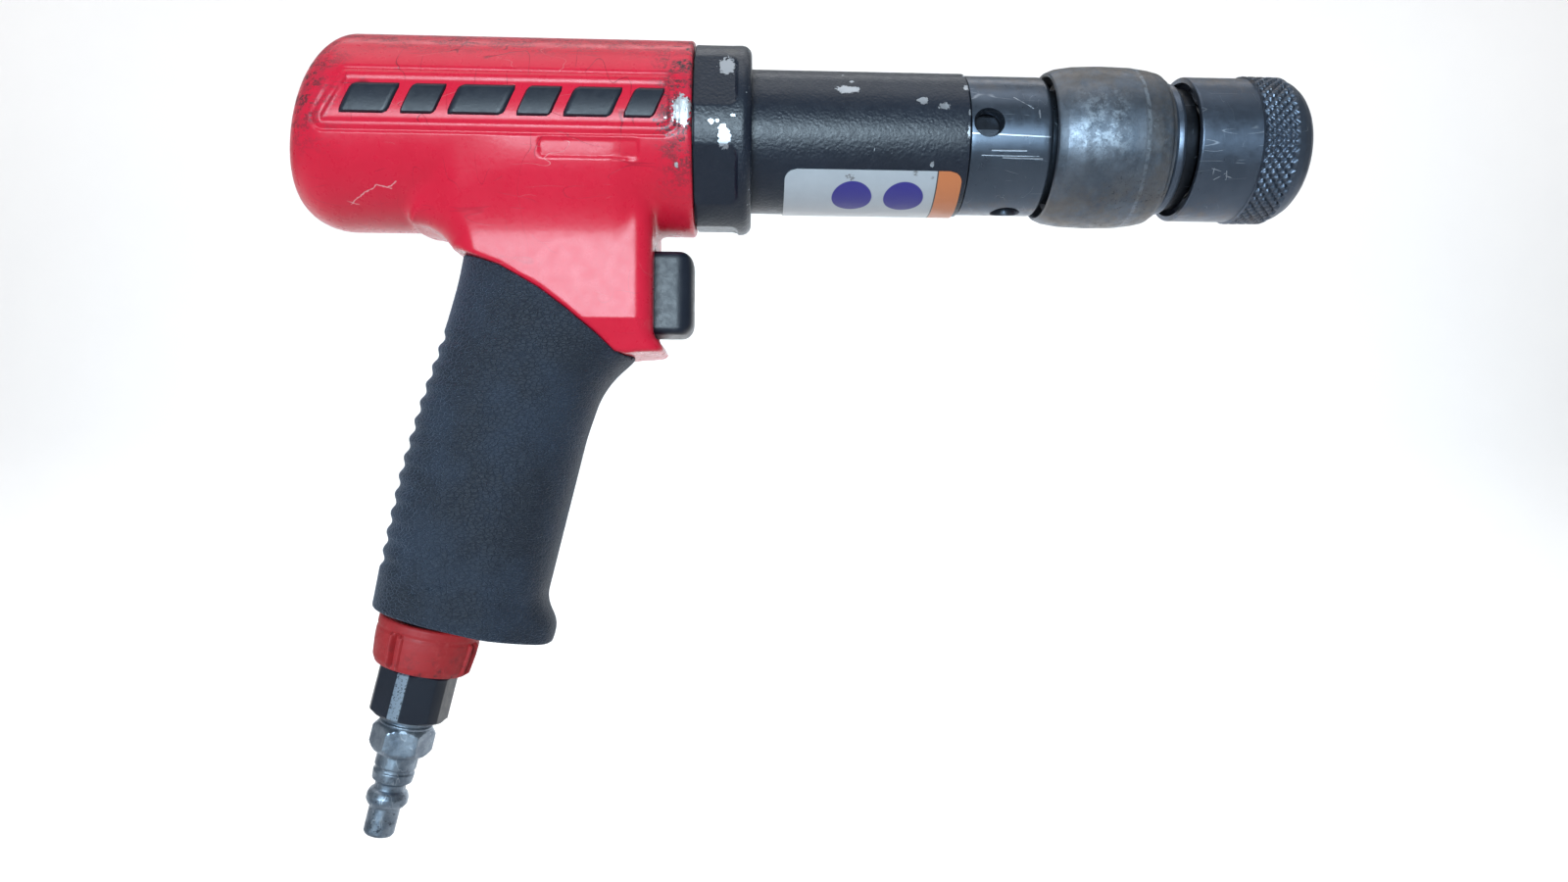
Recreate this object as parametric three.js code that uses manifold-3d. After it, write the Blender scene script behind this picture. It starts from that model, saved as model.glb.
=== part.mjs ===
// Pneumatic rivet gun with a pistol grip and a ball-type quick-change chuck.
// Millimetres, +Z up. The origin is the centre of the grip; the barrel points along +X at BARREL_Z.
// Two working directions: barrel pieces lie along +X, handle pieces along an axis raked back by RAKE.

import * as THREE from 'three';
import { mergeVertices } from 'three/addons/utils/BufferGeometryUtils.js';
import Module from 'manifold-3d';

const wasm = await Module();
wasm.setup();

// ---------------------------------------------------------------- driving dimensions

const BARREL_Z = 86.3; // height of the barrel axis above the grip centre
const RAKE = THREE.MathUtils.degToRad(13.5); // the handle's foot leans back by this angle
const GAP = 0.3; // between pieces that touch
const SIDES = 28; // facets round a large turned piece
const FINE_SIDES = 18; // facets round a small turned piece

// stations along the barrel, from the rear
const HOUSING_REAR = -51.4;
const CHAMBER_REAR = -40;
const CYLINDER_REAR = -12;
const CLAMP_STEP = 30; // step in the housing bore that the cylinder flange seats on
const HOUSING_FRONT = 51;
const COLLAR_FRONT = 66.1;
const SLEEVE_FRONT = 122.8;
const CYLINDER_FRONT = 136;
const RING_REAR = 145.4;
const RING_FRONT = 177;
const CORE_STEP = 184;
const CHUCK_SLEEVE_REAR = 183.4;
const BALL_X = 191;
const CORE_FRONT = 213.6;
const CHUCK_FRONT = 215;

// radii round the barrel axis
const REAR_LEAN = THREE.MathUtils.degToRad(11); // the rear face leans forward at its top
const HOUSING_R = 25.8;
const CHAMBER_R = 20.4;
const CLAMP_R = 22.4;
const COLLAR_R = 24.9;
const COLLAR_FLAT = 24; // centre to a wrench flat
const SLEEVE_R = 19;
const CYLINDER_R = 15;
const BORE_R = 9.6;
const PISTON_R = 9.2;
const PISTON_LENGTH = 40;
const NOSE_R = 18.5;
const SPANNER_HOLE_R = 3.5;
const SHANK_BORE_R = 5.4;
const RING_R = 21.6;
const CORE_R = 16.2;
const CORE_TUBE_R = 10.6;
const CHUCK_SLEEVE_R = 19.3;
const BALL_R = 3;
const BALL_COUNT = 4;
const BALL_RADIUS_AT_REST = 7.6; // from the barrel axis to a ball's centre

// handle, in its own raked axes: [height up the handle, distance forward]
const GRIP_FOOT = -46.4;
const GRIP_REAR_EDGE = [
  [-46.4, -23.3], [-26, -24.4], [-10, -25], [10, -24.3], [31, -22.6], [42, -22.4], [58, -23.4],
];
const GRIP_FRONT_EDGE = [
  [-46.4, 24.4], [-41, 24.8], [-38.6, 23.4], [-35.6, 20], [10, 20], [21, 21], [27, 23.2], [34, 28], [58, 35],
];
const GRIP_LEVELS = [-46.4, -44.6, -41, -38.6, -35.6, -15, 10, 21, 27, 31, 34, 42, 58];
const GRIP_HALF_WIDTH = 17.4;
const GRIP_CORNER = 2.6; // exponent of the rounded section: 2 is an ellipse
const CORE_HALF_DEPTH = 18.4;
const CORE_CENTRE = -1.8; // the core lies behind the raked axis by this much
const CORE_HALF_WIDTH = 14.2;
const RIB_PITCH = 5;
const RIB_COUNT = 11;
const RIB_DEPTH = 0.7;
const PLUG_OFFSET = -8; // the air inlet lies behind the grip's middle by this much
const INLET_R = 5;
const EXHAUST_HOLE_R = 2.2;
const EXHAUST_HOLE_Y = 11;

// trigger and throttle, along X at THROTTLE_Z
const THROTTLE_Z = 44.4;
const THROTTLE_R = 6.5;
const THROTTLE_REAR = -4.5;
const POCKET_REAR = 26.3;
const POCKET_HALF_WIDTH = 8;
const POCKET_BOTTOM = 32.2;
const POCKET_TOP = 55.4;
const TRIGGER_REAR = 34;
const TRIGGER_FRONT = 51.4;
const TRIGGER_HALF_WIDTH = 7.5;
const BLOCK_FRONT = 40.6;
const BLOCK_HALF_WIDTH = 17.6;

// ---------------------------------------------------------------- materials

const paintRed = { color: 0xc81f33, roughness: 0.35, metalness: 0.1 };
const plasticRed = { color: 0xb8242b, roughness: 0.6, metalness: 0 };
const rubberBlack = { color: 0x25272b, roughness: 0.85, metalness: 0 };
const paintBlack = { color: 0x1b1e23, roughness: 0.5, metalness: 0.2 };
const plasticBlack = { color: 0x17181a, roughness: 0.5, metalness: 0 };
const steelBlued = { color: 0x3c434d, roughness: 0.35, metalness: 0.9 };
const steelWorn = { color: 0x5a5c5e, roughness: 0.45, metalness: 0.9 };
const steelBright = { color: 0xa9acaf, roughness: 0.35, metalness: 1 };
const zinc = { color: 0x9a9b97, roughness: 0.4, metalness: 0.9 };
const sealBlack = { color: 0x101010, roughness: 0.9, metalness: 0 };
const labelWhite = { color: 0xdfe0e2, roughness: 0.4, metalness: 0 };

// ---------------------------------------------------------------- solids and joins

/** Six times the volume under a triangle, positive for a face that looks outwards. */
function underTriangle(p, a, b, c) {
  const va = new THREE.Vector3().fromArray(p, 3 * a);
  const vb = new THREE.Vector3().fromArray(p, 3 * b);
  const vc = new THREE.Vector3().fromArray(p, 3 * c);
  return va.dot(vb.cross(vc));
}

/** A closed geometry as a solid that can be cut and joined. */
function solid(geometry) {
  const bare = geometry.clone();
  bare.deleteAttribute('normal');
  bare.deleteAttribute('uv');
  const merged = mergeVertices(bare, 1e-4);
  const points = merged.attributes.position.array;
  const corners = merged.index.array;
  const kept = [];
  let volume = 0;
  for (let i = 0; i < corners.length; i += 3) {
    const [a, b, c] = [corners[i], corners[i + 1], corners[i + 2]];
    if (a === b || b === c || c === a) continue;
    kept.push(a, b, c);
    volume += underTriangle(points, a, b, c);
  }
  if (volume < 0) kept.reverse();
  const mesh = new wasm.Mesh({ numProp: 3, vertProperties: points, triVerts: new Uint32Array(kept) });
  return new wasm.Manifold(mesh);
}

/** The geometry of a solid. */
function geometryOf(shape) {
  const mesh = shape.getMesh();
  const geometry = new THREE.BufferGeometry();
  geometry.setAttribute('position', new THREE.BufferAttribute(new Float32Array(mesh.vertProperties), 3));
  geometry.setIndex(new THREE.BufferAttribute(new Uint32Array(mesh.triVerts), 1));
  geometry.computeVertexNormals();
  return geometry;
}

/** Cuts each of the tools out of a shape. */
function cut(shape, ...tools) {
  return tools.reduce((left, tool) => left.subtract(tool), shape);
}

/** Joins shapes into one. */
function join(first, ...others) {
  return others.reduce((whole, other) => whole.add(other), first);
}

/** A named sub-part with its own material. */
function piece(name, shape, look) {
  const material = new THREE.MeshStandardMaterial({ ...look, flatShading: true });
  const mesh = new THREE.Mesh(geometryOf(shape), material);
  mesh.name = name;
  return mesh;
}

// ---------------------------------------------------------------- shapes

/** Turns an outline of [radius, station] pairs into a lathe about Y, the station lying on Y. */
function latheGeometry(outline, sides) {
  const points = outline.map(([radius, station]) => new THREE.Vector2(radius, station));
  const onAxis = outline[0][0] === 0 && outline[outline.length - 1][0] === 0;
  if (!onAxis) points.push(points[0].clone());
  return new THREE.LatheGeometry(points, sides);
}

/** A turned piece along the barrel: stations are X. */
function turnedX(outline, sides = SIDES) {
  return solid(latheGeometry(outline, sides).rotateZ(-Math.PI / 2));
}

/** A turned piece along the handle: stations are heights. */
function turnedZ(outline, sides = FINE_SIDES) {
  return solid(latheGeometry(outline, sides).rotateX(Math.PI / 2));
}

/** A tube between two stations; an inner radius of 0 gives a rod. */
function tubeOutline(inner, outer, from, to) {
  return [[inner, from], [outer, from], [outer, to], [inner, to]];
}

/** A round rod between two points. */
function rod(from, to, radius, sides = 16) {
  const start = new THREE.Vector3(...from);
  const along = new THREE.Vector3(...to).sub(start);
  const geometry = new THREE.CylinderGeometry(radius, radius, along.length(), sides);
  const upright = new THREE.Vector3(0, 1, 0);
  const turn = new THREE.Quaternion().setFromUnitVectors(upright, along.clone().normalize());
  geometry.applyQuaternion(turn);
  const middle = start.addScaledVector(along, 0.5);
  return solid(geometry.translate(middle.x, middle.y, middle.z));
}

/** A box between its lowest and highest corners. */
function box(low, high) {
  const size = high.map((v, i) => v - low[i]);
  const middle = high.map((v, i) => (v + low[i]) / 2);
  return solid(new THREE.BoxGeometry(...size).translate(...middle));
}

/** A flat outline given as [x, z] pairs, extruded across Y from -halfWidth to +halfWidth. */
function slab(outline, halfWidth, bevel = 0) {
  const shape = new THREE.Shape(outline.map(([x, z]) => new THREE.Vector2(x, z)));
  const geometry = new THREE.ExtrudeGeometry(shape, {
    depth: 2 * (halfWidth - bevel),
    bevelEnabled: bevel > 0,
    bevelThickness: bevel,
    bevelSize: bevel,
    bevelOffset: -bevel,
    bevelSegments: 3,
  });
  geometry.translate(0, 0, -(halfWidth - bevel));
  return solid(geometry.rotateX(Math.PI / 2));
}

/** A regular prism along the handle, measured across its flats, with its corners cut to a circle. */
function hexPrism(acrossFlats, acrossCorners, from, to) {
  const corners = [];
  for (let i = 0; i < 6; i += 1) {
    const angle = (i + 0.5) * (Math.PI / 3);
    const reach = acrossFlats / 2 / Math.cos(Math.PI / 6);
    corners.push(new THREE.Vector2(reach * Math.cos(angle), reach * Math.sin(angle)));
  }
  const options = { depth: to - from, bevelEnabled: false };
  const prism = new THREE.ExtrudeGeometry(new THREE.Shape(corners), options).translate(0, 0, from);
  const chamfer = 0.9;
  const round = acrossCorners / 2;
  const limit = [
    [0, from], [acrossFlats / 2 - 0.1, from], [round, from + chamfer],
    [round, to - chamfer], [acrossFlats / 2 - 0.1, to], [0, to],
  ];
  return solid(prism).intersect(turnedZ(limit, 36));
}

/** A coil spring about the X axis. */
class CoilCurve extends THREE.Curve {
  constructor(radius, from, to, turns) {
    super();
    Object.assign(this, { radius, from, to, turns });
  }

  getPoint(t) {
    const angle = t * this.turns * 2 * Math.PI;
    const x = THREE.MathUtils.lerp(this.from, this.to, t);
    return new THREE.Vector3(x, this.radius * Math.cos(angle), this.radius * Math.sin(angle));
  }
}

/** A coil spring's wire: a small hexagonal section swept along the coil. */
function coil(radius, wire, from, to, turns) {
  const section = new THREE.Shape();
  section.absarc(0, 0, wire, 0, 2 * Math.PI, false);
  return solid(new THREE.ExtrudeGeometry(section, {
    steps: Math.round(turns * 10),
    curveSegments: 3,
    extrudePath: new CoilCurve(radius, from + wire, to - wire, turns),
  }));
}

/** Straight-line reading of a list of [height, value] pairs. */
function along(edge, height) {
  const next = Math.max(1, edge.findIndex(([h]) => h >= height));
  const [[h0, v0], [h1, v1]] = [edge[next - 1], edge[next]];
  return THREE.MathUtils.mapLinear(height, h0, h1, v0, v1);
}

/** A rounded body up the handle; section(height) gives its rear edge, front edge and half width. */
function lofted(levels, section, sides = 24) {
  const geometry = new THREE.CylinderGeometry(1, 1, 1, sides, levels.length - 1);
  const position = geometry.attributes.position;
  for (let i = 0; i < position.count; i += 1) {
    const level = Math.round((position.getY(i) + 0.5) * (levels.length - 1));
    const height = levels[level];
    const { rear, front, halfWidth } = section(height);
    const reach = Math.hypot(position.getX(i), position.getZ(i));
    const angle = Math.atan2(position.getZ(i), position.getX(i));
    const [c, s] = [Math.cos(angle), Math.sin(angle)];
    const forward = Math.sign(c) * Math.abs(c) ** (2 / GRIP_CORNER) * reach;
    const sideways = Math.sign(s) * Math.abs(s) ** (2 / GRIP_CORNER) * reach;
    const w = (front + rear) / 2 + (forward * (front - rear)) / 2;
    position.setXYZ(i, w, sideways * halfWidth, height);
  }
  return geometry.rotateY(RAKE);
}

/** A point of the handle's raked axes in the part's frame. */
function onHandle(height, forward, side = 0) {
  return new THREE.Vector3(forward, side, height).applyAxisAngle(new THREE.Vector3(0, 1, 0), RAKE).toArray();
}

// ---------------------------------------------------------------- handle and housing

/** The rubber's outer surface. */
function gripForm() {
  const section = (height) => ({
    rear: along(GRIP_REAR_EDGE, height),
    front: along(GRIP_FRONT_EDGE, height),
    halfWidth: GRIP_HALF_WIDTH,
  });
  return solid(lofted(GRIP_LEVELS, section));
}

/** The metal core of the handle, grown by a margin to hollow the rubber that slides over it. */
function handleCore(foot, top, margin) {
  const section = () => ({
    rear: CORE_CENTRE - CORE_HALF_DEPTH - margin,
    front: CORE_CENTRE + CORE_HALF_DEPTH + margin,
    halfWidth: CORE_HALF_WIDTH + margin,
  });
  return solid(lofted([foot, top], section));
}

/** Everything above the curve where painted metal gives way to rubber, moved by [dx, dz]. */
function aboveGripLine(dx, dz) {
  const line = [
    [-60, 62], [-9.2, 53], [1.6, 49], [11.7, 43.2], [18.6, 38.1], [26.1, 31.9], [30.6, 27.6],
    [33.5, 26.8], [36.2, 27.4], [BLOCK_FRONT, 29.2], [80, 29.2], [80, 120], [-60, 120],
  ];
  return slab(line.map(([x, z]) => [x + dx, z + dz]), 60);
}

/** The trigger block between barrel and grip, open below until it is trimmed. */
function triggerBlock() {
  const outline = [
    [-23, 72], [-23, 62.6], [-17.6, 59.9], [-13.8, 57.2], [-10.8, 53.2], [-14, 36], [-9, 12],
    [BLOCK_FRONT, 12], [BLOCK_FRONT, 72],
  ];
  return slab(outline, BLOCK_HALF_WIDTH, 5).intersect(aboveGripLine(0, 0));
}

/** The barrel chamber's outside, with its domed rear edge. */
function chamberBody() {
  const dome = 12;
  const outline = [[0, HOUSING_REAR]];
  for (let i = 0; i <= 5; i += 1) {
    const angle = (i * Math.PI) / 10;
    const radius = HOUSING_R - dome + dome * Math.sin(angle);
    outline.push([radius, HOUSING_REAR + dome * (1 - Math.cos(angle))]);
  }
  outline.push([HOUSING_R, HOUSING_FRONT - 0.8], [HOUSING_R - 0.8, HOUSING_FRONT], [0, HOUSING_FRONT]);
  const geometry = latheGeometry(outline, 40).rotateZ(-Math.PI / 2);
  const position = geometry.attributes.position;
  const leanEnd = HOUSING_REAR + 2 * dome;
  for (let i = 0; i < position.count; i += 1) {
    const share = Math.max(0, (leanEnd - position.getX(i)) / (leanEnd - HOUSING_REAR));
    position.setX(i, position.getX(i) + share * position.getZ(i) * Math.tan(REAR_LEAN));
  }
  return solid(geometry);
}

/** The stepped bore that holds the valve block and the cylinder. */
function chamberBore() {
  const beyond = HOUSING_FRONT + 10;
  return turnedX([
    [0, CHAMBER_REAR], [CHAMBER_R, CHAMBER_REAR], [CHAMBER_R, CLAMP_STEP],
    [CLAMP_R, CLAMP_STEP], [CLAMP_R, beyond], [0, beyond],
  ]);
}

/** Moves a barrel solid from the barrel axis to its height in the part's frame. */
function raised(shape) {
  return shape.translate([0, 0, BARREL_Z]);
}

/** Air passages: inlet up the handle, throttle bore, feed to the chamber, two exhaust channels. */
function airPassages() {
  const inlet = rod(onHandle(-50, PLUG_OFFSET), onHandle(43, PLUG_OFFSET), INLET_R, 20);
  const thread = rod(onHandle(-50, PLUG_OFFSET), onHandle(-29, PLUG_OFFSET), 7.4, 24);
  const throttle = rod([THROTTLE_REAR, 0, THROTTLE_Z], [POCKET_REAR + 1, 0, THROTTLE_Z], THROTTLE_R, 24);
  const feed = rod([17.2, 0, THROTTLE_Z], [17.2, 0, BARREL_Z - CHAMBER_R + 3], 2.8);
  const exhausts = [-1, 1].map((side) => {
    const y = side * EXHAUST_HOLE_Y;
    return rod(onHandle(-50, PLUG_OFFSET, y), onHandle(71, PLUG_OFFSET, y), EXHAUST_HOLE_R, 12);
  });
  return [inlet, thread, throttle, feed, ...exhausts];
}

function housing() {
  const body = join(raised(chamberBody()), triggerBlock(), handleCore(GRIP_FOOT + GAP, 60, 0));
  const pocket = box(
    [POCKET_REAR, -POCKET_HALF_WIDTH, POCKET_BOTTOM],
    [BLOCK_FRONT + 20, POCKET_HALF_WIDTH, POCKET_TOP],
  );
  return piece('housing', cut(body, raised(chamberBore()), pocket, ...airPassages()), paintRed);
}

/** Grooves across the back of the grip that leave its ribs standing. */
function gripGrooves() {
  const radius = 2.4;
  const grooves = [];
  for (let i = 0; i < RIB_COUNT; i += 1) {
    const height = -28.6 + i * RIB_PITCH;
    const forward = along(GRIP_REAR_EDGE, height) - radius + RIB_DEPTH;
    grooves.push(rod(onHandle(height, forward, -20), onHandle(height, forward, 20), radius, 8));
  }
  return grooves;
}

function grip() {
  const hollow = handleCore(GRIP_FOOT - 5, 64, GAP);
  const shape = cut(gripForm(), hollow, aboveGripLine(-0.25, -0.32), ...gripGrooves());
  return piece('grip', shape, rubberBlack);
}

// ---------------------------------------------------------------- trigger and throttle

const TRIGGER_PIN_X = 38;
const TRIGGER_PIN_R = 1;
const STEM_R = 1.6;

function trigger() {
  const [low, high] = [POCKET_BOTTOM + 0.4, POCKET_TOP - 0.4];
  const corner = 4;
  const outline = [[TRIGGER_REAR, low], [TRIGGER_FRONT - corner, low]];
  for (let i = 1; i < 8; i += 1) {
    const upper = i >= 4;
    const angle = -Math.PI / 2 + ((upper ? i - 1 : i) * Math.PI) / 6;
    const z = upper ? high - corner : low + corner;
    outline.push([TRIGGER_FRONT - corner + corner * Math.cos(angle), z + corner * Math.sin(angle)]);
  }
  outline.push([TRIGGER_REAR, high]);
  const body = slab(outline, TRIGGER_HALF_WIDTH, 1.6);
  const stemHole = rod([TRIGGER_REAR - 1, 0, THROTTLE_Z], [41.3, 0, THROTTLE_Z], STEM_R + GAP);
  const pinHole = rod([TRIGGER_PIN_X, -9, THROTTLE_Z], [TRIGGER_PIN_X, 9, THROTTLE_Z], TRIGGER_PIN_R + GAP, 12);
  return piece('trigger', cut(body, stemHole, pinHole), plasticBlack);
}

/** The stem runs from the throttle valve through seat and guide into the trigger. */
function triggerStem() {
  const stem = rod([8.9, 0, THROTTLE_Z], [41, 0, THROTTLE_Z], STEM_R);
  const hole = rod([TRIGGER_PIN_X, -3, THROTTLE_Z], [TRIGGER_PIN_X, 3, THROTTLE_Z], TRIGGER_PIN_R + 0.25, 12);
  return piece('trigger_stem', cut(stem, hole), steelBright);
}

function triggerPin() {
  const reach = TRIGGER_HALF_WIDTH - 0.6;
  const pin = rod([TRIGGER_PIN_X, -reach, THROTTLE_Z], [TRIGGER_PIN_X, reach, THROTTLE_Z], TRIGGER_PIN_R, 12);
  return piece('trigger_pin', pin, steelBright);
}

/** Throttle pieces are turned about the throttle axis, so they are lifted to it. */
function throttlePiece(name, outline, look) {
  const mesh = piece(name, turnedX(outline, FINE_SIDES), look);
  mesh.position.z = THROTTLE_Z;
  return mesh;
}

function throttlePieces() {
  const valve = [[0, 5.4], [2.6, 5.4], [2.6, 6.6], [5.2, 6.6], [5.2, 7.4], [4, 8.6], [0, 8.6]];
  const seatRing = tubeOutline(3.6, THROTTLE_R - GAP, 9, 13.6);
  const guide = tubeOutline(STEM_R + GAP, THROTTLE_R - GAP, 21, 26);
  const oring = tubeOutline(STEM_R + GAP, 3.6, 19.2, 20.7);
  const spring = piece('throttle_spring', coil(3.6, 0.45, THROTTLE_REAR + GAP, 6.2, 3.5), steelBright);
  spring.position.z = THROTTLE_Z;
  return [
    throttlePiece('throttle_valve', valve, sealBlack),
    throttlePiece('throttle_seat', seatRing, steelBright),
    throttlePiece('stem_guide', guide, steelBright),
    throttlePiece('stem_oring', oring, sealBlack),
    spring,
  ];
}

// ---------------------------------------------------------------- valve block, cylinder and piston

const DOWEL_R = 1.4;
const DOWEL_RADIUS = 15; // from the barrel axis to the dowel
const SPOOL_R = 10;

/** A hole through the valve stack for the dowel. */
function dowelHole(from, to) {
  return rod([from, 0, DOWEL_RADIUS], [to, 0, DOWEL_RADIUS], DOWEL_R + GAP, 12);
}

/** Holes round the barrel axis that run along it. */
function axialHoles(count, radius, holeRadius, from, to) {
  const holes = [];
  for (let i = 0; i < count; i += 1) {
    const angle = ((i + 0.5) * 2 * Math.PI) / count;
    const [y, z] = [radius * Math.cos(angle), radius * Math.sin(angle)];
    holes.push(rod([from, y, z], [to, y, z], holeRadius, 10));
  }
  return holes;
}

/** Holes that point at the barrel axis. */
function radialHoles(count, station, holeRadius, inner, outer, phase = 0) {
  const holes = [];
  for (let i = 0; i < count; i += 1) {
    const angle = phase + (i * 2 * Math.PI) / count;
    const [y, z] = [Math.cos(angle), Math.sin(angle)];
    holes.push(rod([station, inner * y, inner * z], [station, outer * y, outer * z], holeRadius, 12));
  }
  return holes;
}

function valveBlock() {
  const radius = CHAMBER_R - 0.4;
  const gasket = turnedX(tubeOutline(6, radius, CHAMBER_REAR + GAP, CHAMBER_REAR + 1.5));
  const cap = turnedX([
    [0, -38.2], [radius, -38.2], [radius, -30.2], [SPOOL_R + 0.5, -30.2], [SPOOL_R + 0.5, -34.6], [0, -34.6],
  ]);
  const body = turnedX([
    [6.1, -12.4], [6.1, -24], [SPOOL_R + 0.5, -24], [SPOOL_R + 0.5, -29.9], [radius, -29.9], [radius, -12.4],
  ]);
  const shuttle = turnedX([
    [3, -34.1], [SPOOL_R, -34.1], [SPOOL_R, -31.1], [5.6, -31.1], [5.6, -19], [3, -19],
  ], FINE_SIDES);
  const dowel = rod([-36.5, 0, DOWEL_RADIUS], [-6, 0, DOWEL_RADIUS], DOWEL_R, 12);
  return [
    piece('rear_gasket', gasket, sealBlack),
    piece('valve_cap', cut(cap, dowelHole(-37, -28)), steelBright),
    piece('valve_body', cut(body, dowelHole(-32, -10), ...axialHoles(4, 15, 1.8, -32, -10)), steelBright),
    piece('valve_shuttle', shuttle, steelBright),
    piece('valve_dowel', dowel, steelBright),
  ];
}

function cylinder() {
  const outline = [
    [BORE_R, CYLINDER_REAR], [CHAMBER_R - 0.4, CYLINDER_REAR], [CHAMBER_R - 0.4, -4], [17, -4],
    [17, CLAMP_STEP + GAP], [CLAMP_R - 0.4, CLAMP_STEP + GAP], [CLAMP_R - 0.4, 37.7],
    [CYLINDER_R, 37.7], [CYLINDER_R, CYLINDER_FRONT], [BORE_R, CYLINDER_FRONT],
  ];
  const ports = radialHoles(4, 20, 2, 5, 20, Math.PI / 4);
  return piece('cylinder', cut(turnedX(outline), dowelHole(-13, -5.6), ...ports), steelBright);
}

function piston() {
  const rear = -11.2;
  const front = rear + PISTON_LENGTH;
  const outline = [
    [0, rear], [PISTON_R - 1, rear], [PISTON_R, rear + 1],
    [PISTON_R, front - 2], [PISTON_R - 2, front], [0, front],
  ];
  return piece('piston', turnedX(outline, FINE_SIDES), steelBright);
}

/** Seal between the cylinder's clamping flange and the collar. */
function cylinderSeal() {
  return piece('cylinder_oring', turnedX(tubeOutline(18.4, 21.6, 38, 39.8)), sealBlack);
}

// ---------------------------------------------------------------- collar, sleeve, nose and label

function collar() {
  const thread = CLAMP_R - 0.4;
  const body = turnedX([
    [CYLINDER_R + 0.4, 40.1], [thread, 40.1], [thread, HOUSING_FRONT + 0.4],
    [COLLAR_R, HOUSING_FRONT + 0.4], [COLLAR_R, COLLAR_FRONT - 3], [COLLAR_R - 0.9, COLLAR_FRONT - 0.9],
    [COLLAR_R - 3, COLLAR_FRONT], [SLEEVE_R + 0.4, COLLAR_FRONT], [SLEEVE_R + 0.4, 54],
    [CYLINDER_R + 0.4, 54],
  ], 36);
  const flats = [];
  for (let i = 0; i < 6; i += 1) {
    const flat = new THREE.BoxGeometry(12, 30, 6);
    flat.translate(HOUSING_FRONT + 5.6, 0, COLLAR_FLAT + 3);
    flats.push(solid(flat.rotateX(THREE.MathUtils.degToRad(80 + 60 * i))));
  }
  const rearRim = turnedX(tubeOutline(0, 40, HOUSING_FRONT - 20, HOUSING_FRONT + 0.4));
  return piece('collar', cut(body, ...flats.map((flat) => flat.subtract(rearRim))), paintBlack);
}

function barrelSleeve() {
  const outline = tubeOutline(CYLINDER_R + 0.4, SLEEVE_R, 54.3, SLEEVE_FRONT);
  return piece('barrel_sleeve', turnedX(outline, 40), paintBlack);
}

/** The nose screws over the cylinder; its front is threaded for the chuck. */
function barrelNose() {
  const round = 5.5; // rounded shoulder in front of the spanner holes
  const outline = [[CYLINDER_R + 0.4, SLEEVE_FRONT + GAP], [NOSE_R, SLEEVE_FRONT + GAP]];
  for (let i = 0; i <= 4; i += 1) {
    const angle = (i * Math.PI) / 8;
    const station = 139.3 + round * Math.sin(angle);
    outline.push([NOSE_R - 3.5 + 3.5 * Math.cos(angle), station]);
  }
  outline.push([15, 145], [15, 160], [SHANK_BORE_R, 160]);
  outline.push([SHANK_BORE_R, CYLINDER_FRONT + GAP], [CYLINDER_R + 0.4, CYLINDER_FRONT + GAP]);
  const sideHoles = radialHoles(2, 127.8, SPANNER_HOLE_R, 14.8, 24, THREE.MathUtils.degToRad(-3));
  const uprightHoles = radialHoles(2, 136, SPANNER_HOLE_R, 14.8, 24, THREE.MathUtils.degToRad(87));
  return piece('barrel_nose', cut(turnedX(outline), ...sideHoles, ...uprightHoles), steelBlued);
}

/** A thin sticker wrapped round the lower left of the sleeve. */
function barrelLabel() {
  const [inner, outer] = [SLEEVE_R + 0.15, SLEEVE_R + 0.4];
  const [from, to] = [THREE.MathUtils.degToRad(216), THREE.MathUtils.degToRad(306)];
  const sector = new THREE.Shape();
  sector.absarc(0, 0, outer, from, to, false);
  sector.absarc(0, 0, inner, to, from, true);
  const geometry = new THREE.ExtrudeGeometry(sector, { depth: 46.4, bevelEnabled: false, curveSegments: 12 });
  geometry.applyMatrix4(new THREE.Matrix4().makeBasis(
    new THREE.Vector3(0, 1, 0), new THREE.Vector3(0, 0, 1), new THREE.Vector3(1, 0, 0),
  ));
  return piece('barrel_label', solid(geometry.translate(75, 0, 0)), labelWhite);
}

// ---------------------------------------------------------------- chuck

function chuckRing() {
  const bore = 17.4;
  const outline = [
    [bore, 151], [18, 150], [18, RING_REAR + 0.5], [18.4, RING_REAR], [19.2, RING_REAR + 0.5],
    [20.4, RING_REAR + 2.8], [RING_R - 0.2, RING_REAR + 6.4], [RING_R, 160], [RING_R - 0.1, 168],
    [RING_R - 0.6, 172], [RING_R - 1.3, 175.4], [19.6, RING_FRONT], [18.4, RING_FRONT],
    [bore, RING_FRONT - 1.6],
  ];
  return piece('chuck_ring', turnedX(outline), steelWorn);
}

/** Holds the shank socket; screws on the nose, carries spring and balls, and fills the ring. */
function chuckCore() {
  const outline = [
    [15.4, 151.2], [17, 151.2], [17, 172.6], [CORE_R, 172.6], [CORE_R, CORE_STEP], [14.4, CORE_STEP],
    [14.4, 172.6], [CORE_TUBE_R, 172.6], [CORE_TUBE_R, 205.2], [9.8, 205.2], [9.8, 206.7],
    [CORE_TUBE_R, 206.7], [CORE_TUBE_R, CORE_FRONT - 1], [CORE_TUBE_R - 1, CORE_FRONT],
    [SHANK_BORE_R + 1, CORE_FRONT], [SHANK_BORE_R, CORE_FRONT - 1], [SHANK_BORE_R, 163.4], [15.4, 163.4],
  ];
  const windows = radialHoles(BALL_COUNT, BALL_X, BALL_R + GAP, 2, 12);
  return piece('chuck_core', cut(turnedX(outline), ...windows), steelBlued);
}

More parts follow.
